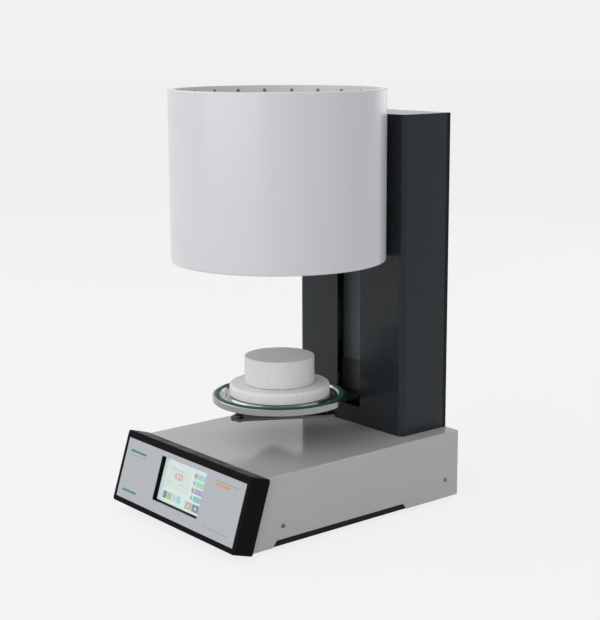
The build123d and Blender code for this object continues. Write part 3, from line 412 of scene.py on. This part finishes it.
def enamel(name, colour, roughness):
    made = Finish(name, colour, roughness, Coat_Weight=0.4, Coat_Roughness=0.16)
    made.bump(made.noise(9, 2), wave_height, 0.5)
    made.bump(made.noise(700, 2), grain_height, 0.6)
    made.tint(made.ramp(made.noise(3, 2), 0.35, 0.65, 0, 0.06), tuple(c * 0.8 for c in colour))
    return made


enamel("drum_enamel", (0.572, 0.576, 0.590), 0.34)
# The lid's enamel is painted lighter than the drum's, as painted light that brightens the inside of the rim.
enamel("lid_enamel", (0.64, 0.643, 0.65), 0.32)
print("finishes so far:", len(shades))

# %% [markdown]
# The base is painted a plain mid grey with the slight orange peel of powder paint: low round bumps about
# two millimetres across, and a sheen strong enough to mirror the drum and the column. The column has the
# same paint in bluish anthracite, and the back and inner plates have it in black. The plate that closes
# the column's slot stands in deep shade, so its colour is painted much lighter than the column's: painted
# light that makes up for that shade.

# %% Powder paint
peel_height = 0.04 * MM


def powder(name, colour, roughness, peel=0.35, shine=0.5):
    made = Finish(name, colour, roughness, Specular_IOR_Level=shine)
    made.bump(made.noise(520, 1.5), peel_height, peel)
    made.tint(made.ramp(made.noise(14, 3), 0.3, 0.7, 0, 0.10), tuple(c * 0.8 for c in colour))
    made.rough(made.noise(30, 2), roughness * 0.85, roughness * 1.2)
    return made


powder("base_paint", (0.455, 0.442, 0.435), 0.13, shine=0.36)
powder("column_paint", (0.0165, 0.0205, 0.0235), 0.28, shine=0.22)
powder("column_top_paint", (0.0165, 0.0205, 0.0235), 0.18, 0.2, 0.4)
# The slot shutter's colour is painted lighter than the column's, as painted light against the shade in the
# slot.
powder("shutter_paint", (0.12, 0.14, 0.153), 0.24, shine=0.5)
powder("black_paint", (0.0055, 0.0055, 0.006), 0.38, shine=0.12)
powder("plate_paint", (0.06, 0.061, 0.062), 0.42, shine=0.4)
print("finishes so far:", len(shades))

# %% [markdown]
# Machine plastics are dark with a soft mirror, and rubber is darker still with none. Both get a very fine
# grain.

# %% Plastic and rubber
mould_grain = 0.02 * MM


def moulded(name, colour, roughness, grain=0.3, shine=0.5):
    made = Finish(name, colour, roughness, Specular_IOR_Level=shine)
    made.bump(made.noise(1400, 2), mould_grain, grain)
    made.rough(made.noise(60, 3), roughness * 0.8, roughness * 1.25)
    return made


moulded("bezel_plastic", (0.0075, 0.0075, 0.0077), 0.35, 0.08, 0.02)
moulded("socket_plastic", (0.009, 0.009, 0.0095), 0.42, 0.3, 0.3)
moulded("grey_plastic", (0.22, 0.23, 0.23), 0.45)
moulded("foot_rubber", (0.010, 0.010, 0.010), 0.75, 0.8, 0.3)
moulded("seal_rubber", (0.010, 0.082, 0.062), 0.45, 0.25, 0.14)
moulded("chip_plastic", (0.015, 0.015, 0.016), 0.5, 0.3, 0.3)
print("finishes so far:", len(shades))

# %% [markdown]
# Bare metals differ by how they were cut. Turned pieces carry fine rings round their axis, ground and drawn
# ones have straight scratches, and screws are plain with a dull plating. The scratches are noise that is
# stretched along one direction: across the drum's axis it depends on the radius and the height alone, so
# the lines run round.

# %% Metals
scratch_depth = 0.012 * MM


def metal(name, colour, roughness, lines="none", depth=0.5):
    made = Finish(name, colour, roughness, metallic=1.0)
    if lines == "turned":
        place = made.rings(axis_y)
        scratch = made.noise(1900, 3, place)
    elif lines == "upright":
        scratch = made.noise(1500, 3, stretch=(1, 1, 0.012))
    elif lines == "across":
        scratch = made.noise(1500, 3, stretch=(0.012, 1, 1))
    else:
        scratch = made.noise(600, 3)
    made.bump(scratch, scratch_depth, depth)
    made.rough(scratch, roughness * 0.75, roughness * 1.3)
    made.tint(made.ramp(made.noise(45, 3), 0.4, 0.7, 0, 0.18), tuple(c * 0.62 for c in colour))
    return made


metal("turned_steel", (0.32, 0.315, 0.305), 0.15, "turned", 0.5)
metal("drawn_steel", (0.52, 0.52, 0.52), 0.26, "across", 0.6)
metal("ground_rod", (0.60, 0.60, 0.60), 0.15, "upright", 0.2)
metal("screw_steel", (0.50, 0.50, 0.49), 0.30)
metal("dull_zinc", (0.17, 0.165, 0.15), 0.34)
metal("black_steel", (0.045, 0.044, 0.044), 0.36)
metal("arm_steel", (0.11, 0.10, 0.088), 0.34, "across")
metal("bare_aluminium", (0.62, 0.63, 0.64), 0.32, "across")
metal("brass", (0.62, 0.43, 0.17), 0.27)
metal("motor_black", (0.03, 0.03, 0.032), 0.40)
print("finishes so far:", len(shades))

# %% [markdown]
# The firing plinth and the insulation are pressed ceramic fibre: matt, off-white, soft-edged, with fibres
# that show as short streaks. The quartz muffle is clear glass, the coil inside it is resistance wire that
# has gone dark and matt with heat.

# %% Ceramics, quartz and wire
streak_height = 0.22 * MM
speck_height = 0.07 * MM
light_reach = 2 * MM
quartz_wave = 0.2 * MM
scale_height = 0.04 * MM


def fibre(name, colour, streak):
    made = Finish(name, colour, 0.92)
    made.shader.inputs["Subsurface Weight"].default_value = 0.03
    made.shader.inputs["Subsurface Scale"].default_value = light_reach
    long_streak = made.noise(420, 4, stretch=streak)
    speck = made.noise(1500, 2)
    made.bump(long_streak, streak_height, 0.55)
    made.bump(speck, speck_height, 0.5)
    made.tint(made.ramp(long_streak, 0.5, 0.75, 0, 0.30), tuple(c * 0.74 for c in colour))
    made.tint(made.ramp(made.noise(70, 3), 0.5, 0.75, 0, 0.20), tuple(c * 0.86 for c in colour))
    return made


fibre("fibre_board", (0.67, 0.655, 0.65), (1, 1, 0.10))
fibre("fibre_disc", (0.76, 0.745, 0.74), (1, 1, 0.10))
fibre("fibre_wool", (0.70, 0.69, 0.66), (1, 1, 1))

quartz = Finish("clear_quartz", (0.98, 0.99, 1.0), 0.03, Transmission_Weight=1.0, IOR=1.46)
quartz.bump(quartz.noise(40, 2), quartz_wave, 0.3)

wire = Finish("oxidised_wire", (0.085, 0.075, 0.068), 0.62, metallic=0.7)
wire.tint(wire.ramp(wire.noise(160, 3), 0.4, 0.7), (0.16, 0.12, 0.09))
wire.bump(wire.noise(900, 3), scale_height, 0.6)
print("finishes so far:", len(shades))

# %% [markdown]
# A circuit board is green laminate with copper tracks under a clear lacquer. The tracks are a pattern of
# narrow slanting lines that shows in patches, so no picture is needed.

# %% Circuit board
track_pitch = 2.3 * MM
track_half_width = 0.4 * MM
track_foot = 0.7 * MM
track_height = 0.03 * MM

board = Finish("circuit_board", (0.012, 0.11, 0.045), 0.32, Coat_Weight=0.4, Coat_Roughness=0.1)
along = board.axes()
rows = board.maths("PINGPONG", board.maths("ADD", along["Y"], along["Z"]), track_pitch)
track = board.ramp(rows, track_half_width, track_foot, 1, 0)
patch = board.ramp(board.noise(130, 0), 0.50, 0.54)
board.tint(board.maths("MULTIPLY", track, patch), (0.03, 0.22, 0.09))
board.bump(track, track_height, 0.5)
print("finishes so far:", len(shades))

# %% [markdown]
# The control panel's film is silver grey with a satin skin, and the glass over the display is a clear
# sheet.

# %% Film and glass
satin_height = 0.008 * MM
glass_wave = 0.05 * MM
screen_grain = 0.01 * MM

film = Finish(
    "silver_film", (0.42, 0.43, 0.46), 0.30, metallic=0.25, Coat_Weight=0.3, Coat_Roughness=0.12
)
film.bump(film.noise(2600, 2), satin_height, 0.5)
film.tint(film.ramp(film.noise(1300, 1), 0.45, 0.75, 0, 0.10), (0.50, 0.52, 0.55))

pane = Finish("screen_glass", (1, 1, 1), 0.02, Transmission_Weight=1.0, IOR=1.45)
pane.bump(pane.noise(25, 1), glass_wave, 0.15)

dark_screen = Finish("display_frame", (0.012, 0.013, 0.014), 0.35)
dark_screen.bump(dark_screen.noise(900, 2), screen_grain, 0.3)
print("finishes:", len(shades))

# %% [markdown]
# Every CAD solid now gets its finish. The list goes by what each piece is made of, not by where it is.

# %% Finishes on the CAD pieces
finish_of = {
    "drum_enamel": ["head_shell"],
    # the lid pan gets the drum's enamel painted lighter, as painted light for the inside of the rim
    "lid_enamel": ["head_lid", "bell_cover"],
    "base_paint": ["base_housing"],
    "column_paint": ["column_cover"],
    # the slot shutter gets the column's colour painted lighter, as painted light against its shade
    "shutter_paint": ["slot_shutter"],
    "column_top_paint": ["column_cap"],
    "black_paint": ["column_back", "base_tray", "rear_panel"],
    "plate_paint": ["carriage_plate"],
    "arm_steel": ["lift_arm"],
    "bezel_plastic": ["front_bezel"],
    "socket_plastic": ["power_inlet", "pump_socket", "switch_frame", "switch_rocker"],
    "grey_plastic": ["linear_bushings"],
    "foot_rubber": ["rubber_feet"],
    "seal_rubber": ["table_seal"],
    "chip_plastic": ["solid_state_relay"],
    "turned_steel": ["table_plate", "seal_flange", "vacuum_bell"],
    "drawn_steel": ["head_base_plate", "head_brackets", "insulation_jacket"],
    "ground_rod": ["guide_rods", "lead_screw", "motor_shaft"],
    "screw_steel": ["screw_bearings", "table_springs", "thermocouple"],
    "dull_zinc": ["side_screws", "levelling_screws"],
    "black_steel": ["levelling_nuts", "arm_screws", "column_back_screws", "deck_bolts"],
    "bare_aluminium": ["column_frame", "rod_block_lower", "rod_block_upper", "carriage", "shaft_coupling",
                       "power_supply"],
    "brass": ["vacuum_nipple", "lead_nut", "board_standoffs"],
    "motor_black": ["lift_motor"],
    "fibre_board": ["firing_plinth"],
    "fibre_disc": ["plinth_base"],
    "fibre_wool": ["insulation_ring", "insulation_plug"],
    "clear_quartz": ["quartz_muffle"],
    "oxidised_wire": ["heating_coil"],
    "circuit_board": ["main_board", "display_board"],
    "silver_film": ["control_overlay"],
    "screen_glass": ["touch_glass"],
    "display_frame": ["display_module"],
}
bare = set(nodes)


def dress(piece, material):
    piece.data.materials.clear()
    piece.data.materials.append(shades[material])


for finish, names in finish_of.items():
    for name in names:
        dress(nodes[name], finish)
        bare.discard(name)
print("without a finish:", sorted(bare))

# %% [markdown]
# In edit mode a hand clicks on the faces and edges that an operator is to shape. A script picks them by a
# rule instead, such as their height or where they face. A modifier is applied at once, so that a finished
# piece is a plain mesh.

# %% Helpers that pick and apply
def pick(piece, rule, kind="FACE"):
    """Goes to edit mode with only the faces or edges that the rule accepts selected."""
    only(piece)
    op.object.mode_set(mode="EDIT")
    op.mesh.select_mode(type=kind)
    mesh = bmesh.from_edit_mesh(piece.data)
    group = {"FACE": mesh.faces, "EDGE": mesh.edges}[kind]
    for element in mesh.verts[:] + mesh.edges[:] + mesh.faces[:]:
        element.select = False
    for element in [element for element in group if rule(element)]:
        element.select = True
    mesh.select_flush_mode()
    bmesh.update_edit_mesh(piece.data)


def applied(piece, kind, **settings):
    """Adds a modifier with its settings and applies it."""
    only(piece)
    modifier = piece.modifiers.new(kind.lower(), kind)
    for key, value in settings.items():
        setattr(modifier, key, value)
    op.object.modifier_apply(modifier=modifier.name)
    return piece


print("made the helpers", pick.__name__, "and", applied.__name__)

# %% [markdown]
# The firing plinth and the disc under it are pressed from ceramic fibre, so no edge of them is crisp and no
# side is quite smooth. A cylinder could be given that look by bump alone, but its outline would stay
# perfect. Two procedural clouds push the surface in instead: wide lumps, and pores that are half as deep.

# %% Clouds for the fibre discs
lump_depth = 0.45 * MM
pore_depth = 0.22 * MM


def cloud(name, size):
    texture = bpy.data.textures.new(name, "CLOUDS")
    texture.noise_scale = size
    return texture


lumps = cloud("fibre_lumps", 0.011)
pores = cloud("fibre_pores", 0.0022)
print("clouds", round(lump_depth / MM, 2), "and", round(pore_depth / MM, 2), "mm deep")

# %% [markdown]
# Each disc starts as a cylinder. Its rims are bevelled, its sides and ends are divided finely, and then the
# clouds have something to push on.

# %% Fibre discs on the table
round_segments = 160
face_rings = 17
hair = 0.01 * MM


def pressed_disc(node, name, rim, foot_rim, material):
    """A disc with soft rims and a slightly uneven surface, in the place of a CAD node."""
    low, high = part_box(node)
    radius = (high.x - low.x) / 2
    nothing_selected()
    middle = (0, axis_y, (low.z + high.z) / 2)
    op.mesh.primitive_cylinder_add(
        vertices=round_segments, radius=radius, depth=high.z - low.z, location=middle
    )
    disc = settled(bpy.context.object, name)
    pick(disc, lambda edge: all(v.co.z > high.z - hair for v in edge.verts), "EDGE")
    op.mesh.bevel(offset=rim, segments=5, profile=0.55, affect="EDGES")
    pick(disc, lambda edge: all(v.co.z < low.z + hair for v in edge.verts), "EDGE")
    op.mesh.bevel(offset=foot_rim, segments=3, affect="EDGES")
    step = 2 * math.pi * radius / round_segments
    side = (high.z - low.z - rim - foot_rim) / step
    pick(disc, lambda e: abs(e.verts[0].co.z - e.verts[1].co.z) > (high.z - low.z) * 0.4, "EDGE")
    op.mesh.subdivide(number_cuts=max(4, int(side)))
    for face_z, edge_width in ((high.z, rim), (low.z, foot_rim)):
        ring = (radius - edge_width) / (face_rings + 1)
        pick(disc, lambda f: len(f.verts) > 8 and abs(f.calc_center_median().z - face_z) < hair)
        for turn in range(face_rings):
            op.mesh.inset(thickness=ring)
    op.object.mode_set(mode="OBJECT")
    for texture, depth in ((lumps, lump_depth), (pores, pore_depth)):
        applied(disc, "DISPLACE", texture=texture, texture_coords="LOCAL", mid_level=1.0, strength=depth)
    settled(disc, name, 40)
    disc.data.materials.append(shades[material])
    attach(disc, "table")
    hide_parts(node)
    print(name, len(disc.data.polygons), "faces, radius", round(radius / MM, 1), "mm")


pressed_disc("plinth_base", "pressed_plinth_base", 4.2 * MM, 0.8 * MM, "fibre_disc")
pressed_disc("firing_plinth", "pressed_firing_plinth", 1.4 * MM, 0.5 * MM, "fibre_board")

# %% [markdown]
# What repeats is modelled once and copied, and each copy has a mesh of its own, so that one can be placed
# without moving the others. The copies are joined to one piece in the end.

# %% Helpers that copy and join
def copied(piece, matrix):
    """A copy with its own mesh, moved by a matrix."""
    twin = piece.copy()
    twin.data = piece.data.copy()
    bpy.context.scene.collection.objects.link(twin)
    twin.data.transform(matrix)
    return twin


def joined(pieces):
    only(pieces[0])
    for piece in pieces:
        piece.select_set(True)
    op.object.join()
    return bpy.context.object


print("made the helpers", copied.__name__, "and", joined.__name__)

# %% [markdown]
# Three round-wire springs stand between the arm and the nuts and press the table up. Their height comes from
# those two CAD pieces, and the pitch follows from it.

# %% Where the table springs stand
nut_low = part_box("levelling_nuts")[0].z
arm_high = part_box("lift_arm")[1].z
wire_radius = 0.6 * MM
spring_radius = 5.0 * MM
spring_turns = 3.5
wire_sides = 10
spring_steps = 110
level_circle = 62.0 * MM
seat = 0.05 * MM

wire_centre = spring_radius - wire_radius
pitch = (nut_low - arm_high - 2 * (wire_radius + seat)) / spring_turns
spring_places = [
    (level_circle * math.sin(math.radians(turn)), axis_y - level_circle * math.cos(math.radians(turn)))
    for turn in (0, 120, 240)
]
print("spring height", round((nut_low - arm_high) / MM, 2), "mm, pitch", round(pitch / MM, 2), "mm")

# %% [markdown]
# A spring is a circle swept along a helix: the Screw modifier turns a small circle round the axis while
# lifting it, which is how such a spring is wound. The ends are closed afterwards.

# %% Table springs
nothing_selected()
op.mesh.primitive_circle_add(
    vertices=wire_sides, radius=wire_radius, location=(0, 0, 0), rotation=(math.radians(90), 0, 0)
)
coil = settled(bpy.context.object, "table_spring")
coil.data.transform(Matrix.Translation((wire_centre, 0, 0)))
applied(
    coil, "SCREW", axis="Z", angle=math.radians(360 * spring_turns), screw_offset=pitch * spring_turns,
    steps=spring_steps, render_steps=spring_steps, use_merge_vertices=False,
)
only(coil)
op.object.mode_set(mode="EDIT")
op.mesh.select_mode(type="EDGE")
op.mesh.select_all(action="DESELECT")
op.mesh.select_non_manifold()
op.mesh.fill_holes(sides=0)
op.mesh.select_all(action="SELECT")
op.mesh.normals_make_consistent(inside=False)
op.object.mode_set(mode="OBJECT")
springs = [
    copied(coil, Matrix.Translation((x, y, arm_high + seat + wire_radius)) @ Matrix.Rotation(turn, 4, "Z"))
    for turn, (x, y) in enumerate(spring_places)
]
bpy.data.objects.remove(coil)
spring_set = settled(joined(springs), "table_spring_set", 60)
spring_set.data.materials.append(shades["black_steel"])
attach(spring_set, "lift")
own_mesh(spring_set)
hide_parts("table_springs")
print("springs:", len(spring_places), "with", len(spring_set.data.polygons), "faces")

# %% [markdown]
# The display looks lit: a pale picture behind a clear glass. The picture is a stack of very thin plates
# that glow a little, as a panel does: a pale ground, a greyer field for the reading, coloured keys and a
# plain three-figure number. A glow of its own keeps each colour even where the lamps don't reach.

# %% Display finishes
panel_glow = 0.86


def lit(name, colour):
    """A plate that shines with its own colour, with a very fine pixel grid."""
    made = Finish(name, tuple(c * 0.35 for c in colour), 0.4)
    made.shader.inputs["Emission Color"].default_value = (*colour, 1)
    made.shader.inputs["Emission Strength"].default_value = panel_glow
    made.tint(made.ramp(made.noise(4000, 0), 0.4, 0.6, 0, 0.3), tuple(c * 0.2 for c in colour))
    return made


for name, colour in {
    "lit_ground": (0.56, 0.67, 0.65),
    "lit_field": (0.52, 0.62, 0.57),
    "lit_rule": (0.33, 0.40, 0.38),
    "lit_red": (0.62, 0.10, 0.15),
    "lit_cyan": (0.25, 0.52, 0.62),
    "lit_green": (0.26, 0.55, 0.33),
    "lit_violet": (0.34, 0.24, 0.52),
    "lit_teal": (0.16, 0.42, 0.40),
    "lit_tan": (0.42, 0.36, 0.25),
    "lit_slate": (0.13, 0.17, 0.24),
    "lit_lime": (0.28, 0.45, 0.12),
    "lit_pale": (0.47, 0.53, 0.55),
}.items():
    lit(name, colour)
print("finishes so far:", len(shades))

# %% [markdown]
# Everything on the front lies in its leaning plane, so a flat plate is made upright at the origin, from a
# unit cube in the front's own directions, and then carried there by one matrix: its X is across, its Y is
# up the front and its Z is out of it.

# %% Plates on the leaning front
face_slack = 0.0001 * MM
front_matrix = Matrix.Translation(glass_back_top) @ Matrix((
    (1, 0, out_of_front.x, 0),
    (0, -down_front.y, out_of_front.y, 0),
    (0, -down_front.z, out_of_front.z, 0),
    (0, 0, 0, 1),
))


def front_plate(name, across, down, out, corner=0.0, edge=0.0):
    """A plate with rounded corners and softened edges, given by its limits in the front's frame."""
    nothing_selected()
    size = (across[1] - across[0], down[1] - down[0], out[1] - out[0])
    middle = (sum(across) / 2, -sum(down) / 2, sum(out) / 2)
    op.mesh.primitive_cube_add(size=1, location=middle, scale=size)
    plate = settled(bpy.context.object, name)
    if corner:
        pick(plate, lambda e: abs(e.verts[0].co.z - e.verts[1].co.z) > size[2] / 2, "EDGE")
        op.mesh.bevel(offset=corner, segments=4, affect="EDGES")
    if edge:
        pick(plate, lambda e: all(v.co.z > out[1] - face_slack for v in e.verts), "EDGE")
        op.mesh.bevel(offset=edge, segments=2, affect="EDGES")
    op.object.mode_set(mode="OBJECT")
    plate.data.transform(front_matrix)
    return plate


def on_root(piece, material):
    piece.data.materials.append(shades[material])
    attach(piece, "root")


print("the glass seat's upper edge is at", [round(v / MM, 1) for v in glass_back_top], "mm")

# %% [markdown]
# The picture's ground covers what the window shows. The pieces are laid out in millimetres from the upper
# left corner of that ground.

# %% The picture on the display
layer = 0.08 * MM
picture_across = (-46.0 * MM, 47.5 * MM)
picture_down = (4.9 * MM, 58.2 * MM)
on_root(
    front_plate("display_ground", picture_across, picture_down, (0.03 * MM, layer), edge=0.01 * MM),
    "lit_ground",
)


def tile(name, left, top, wide, tall, material, level=1, corner=0.6):
    """A coloured plate on a numbered level, placed in millimetres from the picture's upper left corner."""
    across = (picture_across[0] + left * MM, picture_across[0] + (left + wide) * MM)
    down = (picture_down[0] + top * MM, picture_down[0] + (top + tall) * MM)
    made = front_plate(name, across, down, (layer * level, layer * (level + 0.9)), corner * MM)
    on_root(made, material)


tile("display_field", 9.5, 8.0, 48.0, 27.5, "lit_field")
key_colours = ["lit_cyan", "lit_green", "lit_violet", "lit_teal"]
for row, colour in enumerate(key_colours):
    top = 6.5 + 8.6 * row
    tile(f"key_{row + 1}", 69.0, top, 15.5, 6.4, colour)
    tile(f"key_icon_{row + 1}", 62.0, top, 6.2, 6.4, "lit_tan" if row % 2 == 0 else "lit_pale")
    tile(f"key_mark_{row + 1}", 63.8, top + 1.8, 2.6, 2.8, "lit_slate", 2, 0.9)
for column, colour in enumerate(["lit_slate", "lit_lime", "lit_pale", "lit_cyan"]):
    tile(f"program_{column + 1}", 9.5 + 9.6 * column, 40.0, 8.2, 8.6, colour)
tile("start_key", 56.5, 41.5, 13.0, 8.8, "lit_tan")
tile("stop_key", 70.5, 41.5, 14.0, 8.8, "lit_slate")
tile("start_mark", 61.0, 44.0, 4.0, 3.8, "lit_pale", 2, 1.8)
tile("stop_mark", 75.7, 44.2, 3.6, 3.4, "lit_pale", 2, 0.3)
for row, (left, wide) in enumerate([(13.0, 11.0), (35.0, 13.0)]):
    tile(f"field_rule_{row + 1}", left, 26.5, wide, 0.7, "lit_rule", 2, 0.2)
tile("field_title", 17.0, 11.0, 27.0, 0.8, "lit_rule", 2, 0.2)

print("picture", [round(v / MM, 1) for v in (*picture_across, *picture_down)])

# %% [markdown]
# The reading is a plain number. Text is added as a curve, gets its size and its thickness, and is made a
# mesh before it is carried to the front.

# %% The reading on the display
figure_thickness = 0.04 * MM
figure_height = 11.0 * MM


def front_figures(name, figures_shown, height, across, down, out):
    """Plain figures standing on the front, made a mesh before they are placed."""
    nothing_selected()
    op.object.text_add(location=(0, 0, 0))
    figures = bpy.context.object
    figures.data.body = figures_shown
    figures.data.size = height
    figures.data.align_x = "CENTER"
    figures.data.align_y = "CENTER"
    figures.data.extrude = figure_thickness / 2
    figures.data.resolution_u = 3
    op.object.convert(target="MESH")
    figures = settled(bpy.context.object, name)
    middle = Matrix.Translation((across, -down, out + figure_thickness / 2))
    figures.data.transform(front_matrix @ middle)
    return figures


reading = front_figures(
    "display_reading", "620", figure_height,
    picture_across[0] + 33.0 * MM, picture_down[0] + 19.0 * MM, 2 * layer,
)
on_root(reading, "lit_red")
print("reading", round(figure_height / MM, 1), "mm high, with", len(reading.data.polygons), "faces")

# %% [markdown]
# The cover glass is a thin sheet with ground edges. It lies just in front of the picture, with a thin air
# gap that keeps the two from touching, and takes the place of the plain CAD slab.

# %% Cover glass
glass_low = 0.36 * MM
glass_play = 0.05 * MM
cover = front_plate(
    "cover_glass", (glass_left + glass_play, glass_right - glass_play),
    (glass_play, glass_height - glass_play), (glass_low, glass_thickness), edge=0.15 * MM,
)
on_root(cover, "screen_glass")
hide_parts("touch_glass")
print("glass", round((glass_thickness - glass_low) / MM, 2), "mm thick")

# %% [markdown]
# The film on the front has a few printed rules: two green bars at the left, and thin grey and orange ones.
# Ink is a layer far thinner than paper, but a plate that lies on the film gives it a clean edge from any
# side, which a pattern in the film's own finish would not.

# %% Rules on the front's film
ink_grain = 0.006 * MM
ink = {
    "ink_green": (0.015, 0.20, 0.075),
    "ink_grey": (0.16, 0.17, 0.18),
    "ink_orange": (0.72, 0.24, 0.04),
}
for name, colour in ink.items():
    made = Finish(name, colour, 0.4)
    made.bump(made.noise(2600, 2), ink_grain, 0.5)

film_points = [v.co - glass_back_top for v in nodes["control_overlay"].data.vertices]
film_out = max(p.dot(out_of_front) for p in film_points)
film_left = min(p.x for p in film_points)
film_right = max(p.x for p in film_points)
film_top = min(p.dot(down_front) for p in film_points)
film_foot = max(p.dot(down_front) for p in film_points)
ink_thickness = 0.03 * MM


def rule(name, left, top, wide, tall, material):
    """A printed bar, placed in millimetres from the film's upper left corner."""
    across = (film_left + left * MM, film_left + (left + wide) * MM)
    down = (film_top + top * MM, film_top + (top + tall) * MM)
    out = (film_out, film_out + ink_thickness)
    on_root(front_plate(name, across, down, out, min(wide, tall) * 0.2 * MM), material)


rule("rule_green_top", 9.0, 13.0, 34.0, 2.4, "ink_green")
rule("rule_green_foot", 9.0, 62.0, 30.0, 2.4, "ink_green")
rule("rule_grey_left", 9.0, 18.5, 34.0, 0.5, "ink_grey")
rule("rule_grey_right", 186.0, 9.0, 44.0, 0.5, "ink_grey")
rule("rule_orange_right", 186.0, 12.0, 30.0, 1.8, "ink_orange")
rule("rule_grey_foot", 178.0, 64.5, 52.0, 0.5, "ink_grey")
print("film", round((film_right - film_left) / MM, 1), "x", round((film_foot - film_top) / MM, 1), "mm")

# %% [markdown]
# Small button-head screws hold the lid pan inside the drum's rim. One is modelled lying with its head
# towards +Z: a short cylinder whose outer edge is rounded and whose middle is inset and pushed in for the
# key. Then it is copied round the rim, head inwards.

# %% Screws inside the rim
screw_sides = 18
screw_count = 22
screw_first = -59.5
screw_drop = 6.0 * MM
head_radius = 2.0 * MM
head_height = 1.2 * MM
socket_radius = 0.9 * MM
rim_radius = 121.5 * MM
round_share = 0.62
socket_share = 0.6
top_share = 0.99


def button_head(name, radius, height, socket):
    nothing_selected()
    op.mesh.primitive_cylinder_add(
        vertices=screw_sides, radius=radius, depth=height, location=(0, 0, height / 2)
    )
    screw = settled(bpy.context.object, name)
    top = height * top_share
    pick(screw, lambda edge: all(v.co.z > top for v in edge.verts), "EDGE")
    op.mesh.bevel(offset=height * round_share, segments=4, affect="EDGES")
    pick(screw, lambda face: face.normal.z > top_share and face.calc_center_median().z > top)
    op.mesh.inset(thickness=radius - height * round_share - socket)
    op.mesh.extrude_region_move(TRANSFORM_OT_translate={"value": (0, 0, -height * socket_share)})
    return settled(screw, name, 35)


one_screw = button_head("rim_screw", head_radius, head_height, socket_radius)
inwards = Matrix.Rotation(math.radians(90), 4, "X")
rim_screws = []
for number in range(screw_count):
    turn = math.radians(screw_first + number * 360 / screw_count)
    place = (
        Matrix.Translation((0, axis_y, drum_high.z - screw_drop))
        @ Matrix.Rotation(-turn, 4, "Z")
        @ Matrix.Translation((0, rim_radius, 0))
        @ inwards
    )
    rim_screws.append(copied(one_screw, place))
bpy.data.objects.remove(one_screw)
rim_set = settled(joined(rim_screws), "rim_screw_set", 35)
on_root(rim_set, "dull_zinc")
print("rim screws:", screw_count)

# %% [markdown]
